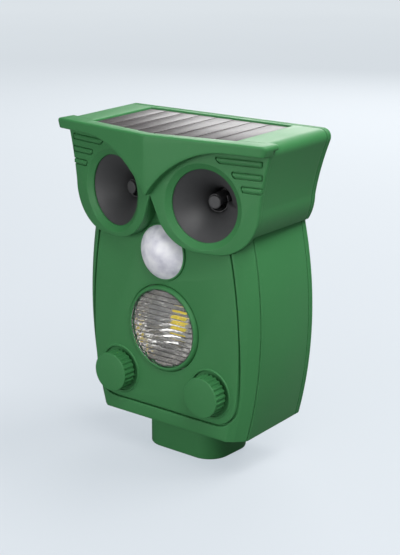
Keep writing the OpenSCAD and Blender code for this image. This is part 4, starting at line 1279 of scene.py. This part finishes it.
def eyePlate(opts):
    e = opts["edge"]
    t = headShape["plateT"]
    plate = plateSolid("eyePlate", roundIn(e, 0) + [(0, t)], topAt(0) - browSettings["flange"] - 0.25)
    mouth, deep = eyeShape["mouthR"], eyeShape["bevelD"]
    rim = mouth + eyeShape["bevelW"]
    for side in (-1, 1):
        centre, axis = eyeAxis(side)
        cutter = [(rim + 0.7, -3), (rim + 0.35, -0.01), (rim, 0.25), (mouth + 0.12, deep - 0.15),
                  (mouth, deep + 0.2), (mouth, 7)]
        cut(plate, revolve("eye", cutter, centre, axis, 128))
        for i, start in enumerate(opts["starts"]):
            z = opts["topBar"] - i * opts["pitch"]
            g, h = opts["gap"], opts["barH"]
            slant = opts["slants"][i]
            slot = featherSolid(side, start - g, opts["end"] + g, z, h + 2 * g, slant,
                                [(0, -3), (0, opts["sunk"])])
            cut(plate, slot)
            bar = [(0, opts["sunk"] + 0.3), (0, 0)] + [
                (h * 0.42 * (1 - math.cos(a)), -opts["proud"] * math.sin(a))
                for a in np.radians([25, 45, 65, 85])]
            fuse(plate, featherSolid(side, start, opts["end"], z, h, slant, bar))
    finishPiece(plate, shellGreen, "case", "case_green", "eye_plate", sharp=28)


eyePlate(plateSettings)
print("eye plate made")

coverSettings = {"edge": 1.3, "seam": 0.45, "slotW": 0.3, "slotD": 1.0, "bead": 2.3, "beadIn": 0.35,
                 "corner": 1.2, "doorHalf": 31.35, "doorLow": 29.65, "doorHigh": 84.35, "portX": 22.0,
                 "portZ": 97.0, "slot": (5.6, 9.0), "usb": (9.6, 5.2), "flap": (15.6, 10.6), "flapT": 1.8,
                 "hookZ": 151.2, "hookDrop": 8.0, "entryR": 4.4, "hookR": 2.2, "screwR": 1.8,
                 "headR": 3.3, "headDeep": 2.3, "screwLip": 0.25}


def rearCover(opts):
    w = caseShape["wall"]
    bead, deepIn = caseD - opts["bead"], opts["beadIn"]
    groove = [(0, bead - deepIn), (deepIn, bead), (0, bead + deepIn)]
    loops = seamEdge(coverD, 1, opts) + groove + roundOut(opts["edge"], caseD, fineTurn)
    body = [upright(openTop(bodyHalf2d(i, i + footRise(d), opts["corner"] + i * 0.3), 2), d)
            for i, d in loops]
    cover = skin("rearCover", body)
    head = skin("headBack", [ringAt(blockHalf2d(topAt(d) - i, i, headSettings["corner"] - i * 0.6), d)
                             for i, d in loops])
    fuse(cover, head)
    deep, past = caseD - w, caseD + 2
    hollow = skin("room", [upright(openTop(bodyHalf2d(w, w + footRise(d), bodySettings["inCorner"]), 4), d)
                           for d in (coverD - 2, deep)])
    fuse(hollow, headBlock("headRoom", coverD - 2, deep, w, w, 3))
    spots = [(side * x, z) for side in (-1, 1)
             for x, z in ((bodySettings["bossX"], bodyZ + bodySettings["bossUp"]),
                          (headSettings["bossX"], headSettings["bossZ"]))]
    for x, z in spots:
        cut(hollow, rod("boss", bodySettings["bossR"], coverD - 3, deep + 2, x, z))
    cut(cover, hollow)
    r, big, step, lip = opts["screwR"], opts["headR"], caseD - opts["headDeep"], opts["screwLip"]
    screwHole = [(r, coverD - 2), (r, step), (big, step), (big, caseD - lip), (big + lip, caseD),
                 (big + lip, past)]
    for x, z in spots:
        cut(cover, turned("screwHole", screwHole, x, z, 48))
    low, high = opts["doorLow"], opts["doorHigh"]
    px, pz = opts["portX"], opts["portZ"]
    cut(cover, window("door", 0, (low + high) / 2, 2 * opts["doorHalf"], high - low, coverD - 2, past))
    cut(cover, window("slot", -px, pz, *opts["slot"], coverD - 2, past))
    cut(cover, window("port", px, pz, *opts["usb"], coverD - 2, past))
    cut(cover, window("flapRoom", px, pz, *opts["flap"], caseD - opts["flapT"], past))
    z, drop, neck = opts["hookZ"], opts["hookDrop"], opts["hookR"]
    cut(cover, rod("entry", opts["entryR"], deep - 1, caseD + 1, 0, z - drop))
    cut(cover, rod("hook", neck, deep - 1, caseD + 1, 0, z, 32))
    cut(cover, window("keySlot", 0, z - drop / 2, 2 * neck, drop, deep - 1, caseD + 1))
    finishPiece(cover, shellGreen, "case", "case_green", "rear_cover")


rearCover(coverSettings)
print("rear cover made")

# Horns

hornSettings = {"wall": 1.2, "throat": 5.5, "bend": 1.914, "length": 23.0, "flange": 12.5, "ramp": 2.4,
                "rampTurn": 300.0, "steps": 96}


def hornRadius(s, opts):
    t = headShape["plateT"]
    u = min(1, max(0, (s - t) / (opts["length"] - 2)))
    return opts["throat"] + (eyeShape["mouthR"] + 0.2 - opts["throat"]) * (1 - u) ** opts["bend"]


def hornSpin(name, centre, axis, rows, steps):
    # rows of (radius, along) as functions of the turn, joined into one ring of walls
    w = axis.normalized()
    u = Vector((0, 0, 1)).cross(w).normalized()
    v = w.cross(u)
    bm = bmesh.new()
    grid = []
    for row in rows:
        ring = []
        for k in range(steps):
            a = 2 * math.pi * k / steps
            r, s = row(a)
            ring.append(bm.verts.new(centre + u * (r * math.cos(a)) + v * (r * math.sin(a)) + w * s))
        grid.append(ring)
    for a, b in zip(grid, grid[1:] + grid[:1]):
        for i in range(steps):
            j = (i + 1) % steps
            bm.faces.new((a[i], a[j], b[j], b[i]))
    bmesh.ops.recalc_face_normals(bm, faces=bm.faces)
    return newPiece(name, bm)


def horn(side, opts):
    name = ("left", "right")[side > 0] + "Horn"
    node = ("left_horn", "right_horn")[side > 0]
    centre, axis = eyeAxis(side)
    t, wall = headShape["plateT"], opts["wall"]
    end = t + opts["length"] - 2

    def ramp(a, s):
        # one slow turn that ends in a step at the left, deepest half way in
        turn = (math.degrees(a) - 180) % 360
        share = max(0.0, 1 - turn / opts["rampTurn"])
        depth = math.sin(math.pi * min(1, max(0, (s - t) / (end - t)))) ** 0.7
        return opts["ramp"] * share * depth

    def inner(s):
        return lambda a: (hornRadius(s, opts) - ramp(a, s), s)

    def plain(r, s):
        return lambda a: (r, s)

    levels = [t + (end - t) * (k / 20) for k in range(21)]
    rows = [inner(s) for s in levels]
    rows += [plain(opts["throat"], end + 2), plain(opts["flange"], end + 2), plain(opts["flange"], end)]
    rows += [plain(hornRadius(s, opts) + wall, s) for s in reversed(levels[:-1])]
    bell = hornSpin(name, centre, axis, rows, opts["steps"])
    finishPiece(bell, hornBlack, "case", "horn_black", node, sharp=22)


plugSettings = {"hub": 2.4, "disc": 3.2, "at": 9.0, "web": 1.2, "finTurns": 1.15, "finThick": 0.7}


def phasePlug(side, opts):
    # hub with a disc, and a snail fin that winds off it
    name = ("left", "right")[side > 0] + "PhasePlug"
    node = ("left_horn_plug", "right_horn_plug")[side > 0]
    centre, axis = eyeAxis(side)
    s = headShape["plateT"] + opts["at"]
    end = headShape["plateT"] + hornSettings["length"] - 2
    hub, disc = opts["hub"], opts["disc"]
    face = [(disc - 0.4, s), (disc, s + 0.3), (disc, s + 1), (hub, s + 1.8), (hub, end)]
    plug = revolve(name, face, centre, axis, 48)
    u = Vector((0, 0, 1)).cross(axis).normalized()
    v = axis.cross(u)
    rings = []
    count = 40
    for k in range(count + 1):
        f = k / count
        a = math.radians(200) - f * opts["finTurns"] * 2 * math.pi
        mid = hub + 0.1 + f * (hornRadius(s + 6, hornSettings) - hub - 0.8)
        thick = opts["finThick"] * (1 - 0.4 * f)
        front = s + 0.8 + 2.2 * f
        radial = u * math.cos(a) + v * math.sin(a)
        rings.append([centre + radial * (mid + dr) + axis * ss for dr, ss in (
            (-thick / 2, front + 0.2), (-thick / 4, front), (thick / 4, front), (thick / 2, front + 0.2),
            (thick / 2, end - 0.4), (-thick / 2, end - 0.4))])
    fuse(plug, skin("fin", rings))
    finishPiece(plug, hornBlack, "case", "horn_black", node, sharp=30)


for side in (-1, 1):
    horn(side, hornSettings)
    phasePlug(side, plugSettings)
print("horns made")

# Lamp

lampSettings = {"bezelOut": 0.8, "glassOut": 0.45, "seat": 1.55, "lip": 0.5, "bowlIn": 0.75, "bowlT": 0.8,
                "bulge": 1.6, "ribs": 15, "ribProud": 0.2, "facetTurns": 24, "facetRows": 8,
                "depth": boxMm("reflector")[1].y - at(backD), "floorR": 10.4, "holeR": 6.6, "ledW": 4.2,
                "ledPitch": 4.8}


def lensRing(opts):
    hi = boxMm("lens_ring")[1]
    out, r, front = hi.x, lensR, -opts["bezelOut"]
    profile = [(r, opts["seat"]), (r, front + 0.45), (r + 0.12, front + 0.15), (r + 0.4, front),
               (r + 1.0, front + 0.02),
               (r + 1.45, front + 0.3), (out - 0.2, front + 0.95), (out, front + 1.4), (out, backD),
               (r - opts["lip"], backD), (r - opts["lip"], opts["seat"])]
    finishPiece(turned("lensRing", profile, 0, lensZ, 128, closed=True), shellGreen, "case", "case_green",
                "lens_ring")


def strobeLens(opts):
    r = lensR - 0.1
    back = opts["seat"]
    disc = rod("strobeLens", r, -opts["glassOut"], back - 0.02, 0, lensZ, 96)
    pitch = 2 * (r - 0.3) / opts["ribs"]
    clearLens = lensMaterial(lensZ * mm, pitch * mm)
    ribs = grow(ribsInWindow, "ribs", clearLens, Count=opts["ribs"], Window_Radius=r - 0.05, Pitch=pitch,
                Rib_Radius=pitch * 0.5, Proud=opts["ribProud"] + 0.2,
                Centre=(0, at(0.1 - opts["glassOut"]), lensZ), Sides=20)
    trim = rod("trim", r, -3, back - 0.02, 0, lensZ, 96)
    combine(ribs, trim, "INTERSECT")
    fuse(disc, ribs)
    finishPiece(disc, clearLens, "case", "lens_clear", "strobe_lens", sharp=50)


def reflectorBowl(opts):
    # bowl of flat diamond facets with a hole for the lamps in its floor
    turns, rows = opts["facetTurns"], opts["facetRows"]
    top, flange, low = opts["seat"] + 0.07, backD + 0.1, backD + opts["depth"]
    neck = lensR - opts["bowlIn"]
    wall = opts["bowlT"]

    def bowl(j):
        f = j / rows
        r = opts["floorR"] + (neck - opts["floorR"]) * math.sqrt(max(0.0, 1 - f ** opts["bulge"]))
        return r, top + (low - top) * f

    inside = [(*bowl(j), 0.5 * (j % 2)) for j in range(rows + 1)]
    floor = [(opts["holeR"], low - 0.01, 0), (opts["holeR"], low + wall - 0.02, 0)]
    outside = [(opts["floorR"] + wall, low + wall - 0.02, 0), (lensR + 0.2, flange + 3.5, 0),
               (lensR + 2.3, flange + 1.1, 0),
               (lensR + 2.3, flange, 0), (neck + 0.2, flange, 0), (neck + 0.2, top, 0)]
    bm = bmesh.new()
    grid = []
    for r, d, shift in inside + floor + outside:
        d = min(d, backD + opts["depth"])
        grid.append([bm.verts.new((r * math.cos(2 * math.pi * (k + shift) / turns), at(d),
                                   lensZ + r * math.sin(2 * math.pi * (k + shift) / turns)))
                     for k in range(turns)])
    shifts = [row[2] for row in inside + floor + outside]
    count = len(grid)
    for j in range(count):
        a, b = grid[j], grid[(j + 1) % count]
        sa, sb = shifts[j], shifts[(j + 1) % count]
        for k in range(turns):
            n = (k + 1) % turns
            if sa == sb:
                bm.faces.new((a[k], a[n], b[n], b[k]))
            elif sa < sb:
                bm.faces.new((a[k], a[n], b[k]))
                bm.faces.new((b[k], a[n], b[n]))
            else:
                bm.faces.new((a[k], b[n], b[k]))
                bm.faces.new((a[k], a[n], b[n]))
    bmesh.ops.recalc_face_normals(bm, faces=bm.faces)
    finishPiece(newPiece("reflectorBowl", bm), reflectorSilver, "case", "reflector_silver", "reflector",
                sharp=3)


def lampChips(opts):
    # four chips under domed yellow phosphor
    low = backD + opts["depth"]
    half = opts["ledW"] / 2
    chips = []
    for x in (-0.5, 0.5):
        for z in (-0.5, 0.5):
            cx, cz = x * opts["ledPitch"], lensZ + z * opts["ledPitch"]
            chips.append(skin("chip", [
                [Vector((cx + px, at(low - up), cz + pz))
                 for px, pz in roundedRectangle(half - inset, half - inset, 0.7 - inset * 0.3, 5)]
                for up, inset in ((0, 0), (0.7, 0), (0.9, 0.06), (1.02, 0.22), (1.2, 0.8), (1.3, 1.4))]))
    finishPiece(joined("lampChips", chips), phosphor, "case", "led_yellow", "strobe_leds", sharp=40)


lensRing(lampSettings)
strobeLens(lampSettings)
reflectorBowl(lampSettings)
lampChips(lampSettings)
print("lamp made")

# Motion sensor

sensorSettings = {"lip": 1.6, "rows": 20, "wall": 0.9, "rimT": 0.8, "step": 0.3, "inside": 1.6}
ringSettings = {"width": 0.88, "foot": 1.1}


def pirDome(opts):
    lo, hi = boxMm("pir_dome")
    high = frontY - lo.y
    r = hi.x - opts["lip"]
    ball = (r * r + high * high) / (2 * high)
    profile = []
    for k in range(opts["rows"] + 1):
        rr = r * k / opts["rows"]
        profile.append((max(rr, 0.05), ball - high - math.sqrt(ball ** 2 - rr ** 2)))
    neck, bore, end = r - opts["step"], r - opts["inside"], backD + opts["rimT"]
    profile += [(neck, 0.05), (neck, backD), (hi.x, backD), (hi.x, end), (bore, end), (bore, 0.1)]
    inner = ball - opts["wall"]
    for k in range(opts["rows"], -1, -1):
        rr = bore * k / opts["rows"]
        profile.append((max(rr, 0.05), ball - high - math.sqrt(inner ** 2 - rr ** 2)))
    finishPiece(turned("pirDome", profile, 0, domeZ), domeWhite, "case", "dome_white", "pir_dome", sharp=40)


def pirRing(opts):
    lo, hi = boxMm("pir_ring")
    out, front = hi.x, lo.y - frontY
    r, foot = out - opts["width"], out - opts["foot"]
    profile = [(r, 0.1), (r, front + 0.15), (r + 0.15, front), (out - 0.3, front), (out - 0.02, front + 0.25),
               (out - 0.02, backD), (foot, backD), (foot, 0.1)]
    finishPiece(turned("pirRing", profile, 0, domeZ, 128, closed=True), shellGreen, "case", "case_green",
                "pir_ring")


pirDome(sensorSettings)
pirRing(ringSettings)
print("motion sensor made")

# Knobs

knobSettings = {"lip": 0.45, "notches": 24, "notchR": 0.95, "notchOut": 0.3, "notchL": 12.0,
                "notchD": 0.55, "cap": 2.0, "nutRoomR": 7.1, "nutRoomD": -3.1, "shaftR": 3.0}


def knob(side, opts):
    name = ("left", "right")[side > 0]
    lo, hi = boxMm(name + "_knob")
    r = (hi.x - lo.x) / 2
    x = (lo.x + hi.x) / 2
    z = (lo.z + hi.z) / 2
    front, back, lip = lo.y - frontY, hi.y - frontY, opts["lip"]
    body = [(r - i, d) for i, d in roundIn(lip, front, fineTurn)]
    cap = turned(name + "Knob", body + [(r, back)], x, z, 144)
    cut(cap, rod("nutRoom", opts["nutRoomR"], opts["nutRoomD"], back + 1, x, z),
        rod("shaftRoom", opts["shaftR"], front + opts["cap"], 0, x, z))
    middle = front + opts["notchL"] / 2 + opts["notchD"]
    grooves = grow(barsInRing, "grooves", knobGreen, Count=opts["notches"], Ring_Radius=r + opts["notchOut"],
                   Bar_Radius=opts["notchR"], Length=opts["notchL"], Centre=(x, at(middle), z), Sides=12)
    cut(cap, grooves)
    finishPiece(cap, knobGreen, name + "_knob", "knob_green", name + "_knob")


knob(-1, knobSettings)
knob(1, knobSettings)
print("knobs made")

# Solar panel: a base with a border, and strips of cells printed on it

solarSettings = {"boardT": 1.2, "cellT": 0.4, "strips": 8, "gap": 0.75, "border": 1.5, "play": 0.3,
                 "soft": 0.15}


def solarPanel(opts):
    head = headSettings
    low = -head["sink"] + opts["boardT"]
    play, soft = opts["play"], opts["soft"]
    base = solarPrism("solarPanel", [(-head["sink"], -play), (low - soft, -play), (low, -play - soft)], head)
    finishPiece(base, solarBase, "case", "solar_base", "solar_panel")
    lo, hi = boxMm("solar_cells")
    count = opts["strips"]
    width = (hi.x - lo.x - opts["gap"] * (count - 1)) / count
    far = 80
    strips = []
    for i in range(count):
        x0 = lo.x + i * (width + opts["gap"])
        strip = solarPrism("strip", [(low, -opts["border"]), (low + opts["cellT"], -opts["border"])], head)
        keep = boxPiece("keep", (x0, -far, headZ), (x0 + width, far, headZ + far))
        strips.append(softened(combine(strip, keep, "INTERSECT"), 0.12, 2))
    finishPiece(joined("solarCells", strips), solarCell, "case", "solar_cell", "solar_cells")


solarPanel(solarSettings)
print("solar panel made")

# Battery springs, wound

springSettings = {"turns": 4.5, "foot": 4.0, "top": 2.2, "wire": 0.32, "plateT": 0.5, "plateR": 5.0,
                  "plateEdge": 0.1}


def batterySprings(opts):
    lo, hi = boxMm("battery_springs")
    cells = boxMm("battery_cells")
    y = (lo.y + hi.y) / 2
    room = cells[0].x - lo.x
    r = opts["plateR"]
    pitch = (hi.z - lo.z - 2 * r) / 2
    parts = []
    for i in range(3):
        z = lo.z + r + i * pitch
        flip = -1 if i % 2 else 1
        for end in (-1, 1):
            x = end * hi.x
            plate = [(r - opts["plateEdge"], 0), (r, opts["plateEdge"]), (r, opts["plateT"])]
            parts.append(revolve("contact", plate, (x, y, z), (-end, 0, 0), 32))
            if end == -flip:
                coil = grow(woundWire, "coil", steel, Turns=opts["turns"], Foot_Radius=opts["foot"],
                            Top_Radius=opts["top"], Height=room - opts["plateT"] - 2 * opts["wire"],
                            Wire=opts["wire"])
                coil.data.transform(Matrix.Translation((x - end * (opts["plateT"] + opts["wire"]), y, z))
                                    @ Matrix.Rotation(-end * math.pi / 2, 4, "Y"))
                parts.append(coil)
    finishPiece(joined("batterySprings", parts), steel, "case", "bright_steel", "battery_springs")


batterySprings(springSettings)
print("springs made")

# Fittings at the back, from the design's own solids with soft edges

softPieces = [
    # node, body, slot, material, width of the soft edge
    ("battery_door", "battery_door", "door_green", doorGreen, 0.3),
    ("switch_slider", "power_switch", "switch_grey", switchGrey, 0.15),
    ("charge_flap", "charge_flap", "flap_rubber", rubber, 0.2),
    ("charge_socket", "case", "bright_steel", steel, 0.12),
    ("case_screws", "case", "bright_steel", steel, 0.12),
    ("battery_holder", "case", "inner_black", innerBlack, 0.2),
    ("switch_housing", "case", "inner_black", innerBlack, 0.15),
]
for node, body, slot, material, width in softPieces:
    words = node.split("_")
    piece = cadCopy(words[0] + "".join(word.capitalize() for word in words[1:]), node)
    finishPiece(softened(piece, width, 3), material, body, slot, node)
print("rear fittings made")

# Inner pieces keep the design's shapes and get finished materials

innerFinish = {
    "left_driver": driverGrey, "right_driver": driverGrey, "pir_sensor": steel, "strobe_board": boardWhite,
    "left_shaft": steel, "right_shaft": steel, "left_control": controlBlue, "right_control": controlBlue,
    "control_nuts": steel, "main_board": boardGreen, "board_parts": innerBlack, "board_screws": steel,
    "battery_cells": cellWrap, "door_pins": steel, "flap_pin": steel, "case_seal": rubber,
    "horn_leads": leadRed, "battery_leads": leadRed, "solar_leads": leadBlack,
}
for node, material in innerFinish.items():
    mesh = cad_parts[node].data
    mesh.materials.clear()
    mesh.materials.append(material)
print("inner pieces finished")

# Floor, backdrop and light

stageSettings = {"half": 14.0, "near": (0.50, 0.55, 0.60), "far": (0.70, 0.75, 0.79), "base": 0.16,
                 "spill": 0.1}


def stageMaterial(opts):
    # pale floor that stays even towards the horizon
    # most of its glow is for the eye only, so it lights little
    mat, tree, shader = blankMaterial("pale stage")
    coords = addNode(tree, "ShaderNodeTexCoord")
    away = addNode(tree, "ShaderNodeVectorMath", {0: coords.outputs["Object"]}, operation="LENGTH")
    reach = addNode(tree, "ShaderNodeMapRange", {"Value": away.outputs["Value"]}, in_From_Max=2.5)
    cloud = noiseAt(tree, coords, 3.0, 2.0)
    wash = rampOf(tree, cloud.outputs["Fac"], [(0.3, (0.99, 0.99, 0.99, 1)), (0.7, (1, 1, 1, 1))])
    glow = mixed(tree, 1.0, rampOf(tree, reach.outputs[0],
                                   [(0.0, (*opts["near"], 1)), (1.0, (*opts["far"], 1))]),
                 wash, "MULTIPLY")
    tint = mixed(tree, 1.0, wash, (opts["base"], opts["base"] * 1.02, opts["base"] * 1.04, 1), "MULTIPLY")
    seen = addNode(tree, "ShaderNodeLightPath")
    power = mapped(tree, seen.outputs["Is Camera Ray"], opts["spill"], 1.0)
    tree.links.new(tint, shader.inputs["Base Color"])
    tree.links.new(glow, shader.inputs["Emission Color"])
    tree.links.new(power.outputs[0], shader.inputs["Emission Strength"])
    shader.inputs["Roughness"].default_value = 0.9
    shader.inputs["Specular IOR Level"].default_value = 0.1
    return mat


def stageFloor(opts):
    half = opts["half"]
    bm = bmesh.new()
    corners = [bm.verts.new((x, y, 0)) for x, y in ((-half, -half), (half, -half), (half, half),
                                                    (-half, half))]
    bm.faces.new(corners)
    floor = newPiece("floor", bm)
    floor.data.materials.append(stageMaterial(opts))


stageFloor(stageSettings)

lightSettings = {
    # name: (azimuth, elevation, distance m, size m, watts, colour)
    "front": (-20, 5, 1.3, 0.7, 5.5, (1.0, 1.0, 1.0)),
    "middle": (0, 5, 1.3, 0.7, 4.5, (1.0, 1.0, 1.0)),
    "key": (60, 32, 1.3, 0.7, 5.0, (1.0, 1.0, 1.0)),
    "top": (60, 60, 1.3, 0.7, 9.0, (1.0, 1.0, 1.0)),
    "back": (135, 60, 1.3, 0.7, 15.0, (1.0, 1.0, 1.0)),
    "rear": (205, 25, 1.3, 0.7, 9.0, (1.0, 1.0, 1.0)),
}


def addLights(lights, aim):
    for name, (az, el, away, size, watts, colour) in lights.items():
        data = bpy.data.lights.new(name, "AREA")
        data.shape = "SQUARE"
        data.size = size
        data.energy = watts
        data.color = colour
        obj = bpy.data.objects.new(name, data)
        a, e = math.radians(az), math.radians(el)
        back = Vector((math.sin(a) * math.cos(e), -math.cos(a) * math.cos(e), math.sin(e)))
        turn = back.to_track_quat("Z", "Y").to_matrix().to_4x4()
        obj.matrix_world = Matrix.Translation(aim + back * away) @ turn
        bpy.context.scene.collection.objects.link(obj)


aimHeight = 0.09
addLights(lightSettings, Vector((0, 0, aimHeight)))


worldSettings = {"low": (0.55, 0.6, 0.62), "high": (0.95, 0.98, 1.0), "strength": 0.06}


def addWorld(opts):
    # pale all round to the eye, but it lights the object only a little
    world = bpy.data.worlds.new("soft studio")
    world.use_nodes = True
    tree = world.node_tree
    tree.nodes.clear()
    out = tree.nodes.new("ShaderNodeOutputWorld")
    shade = tree.nodes.new("ShaderNodeBackground")
    coords = addNode(tree, "ShaderNodeTexCoord")
    parts = addNode(tree, "ShaderNodeSeparateXYZ", {0: coords.outputs["Generated"]})
    lift = addNode(tree, "ShaderNodeMapRange", {"Value": parts.outputs["Z"]}, in_From_Min=-1.0,
                   in_From_Max=1.0)
    sky = rampOf(tree, lift.outputs[0], [(0.35, (*opts["low"], 1)), (0.75, (*opts["high"], 1))])
    tree.links.new(sky, shade.inputs[0])
    seen = addNode(tree, "ShaderNodeLightPath")
    power = mapped(tree, seen.outputs["Is Camera Ray"], opts["strength"], 1.0)
    tree.links.new(power.outputs[0], shade.inputs[1])
    tree.links.new(shade.outputs[0], out.inputs[0])
    bpy.context.scene.world = world


addWorld(worldSettings)
bpy.context.scene.view_settings.view_transform = "Standard"
print("stage and light ready")
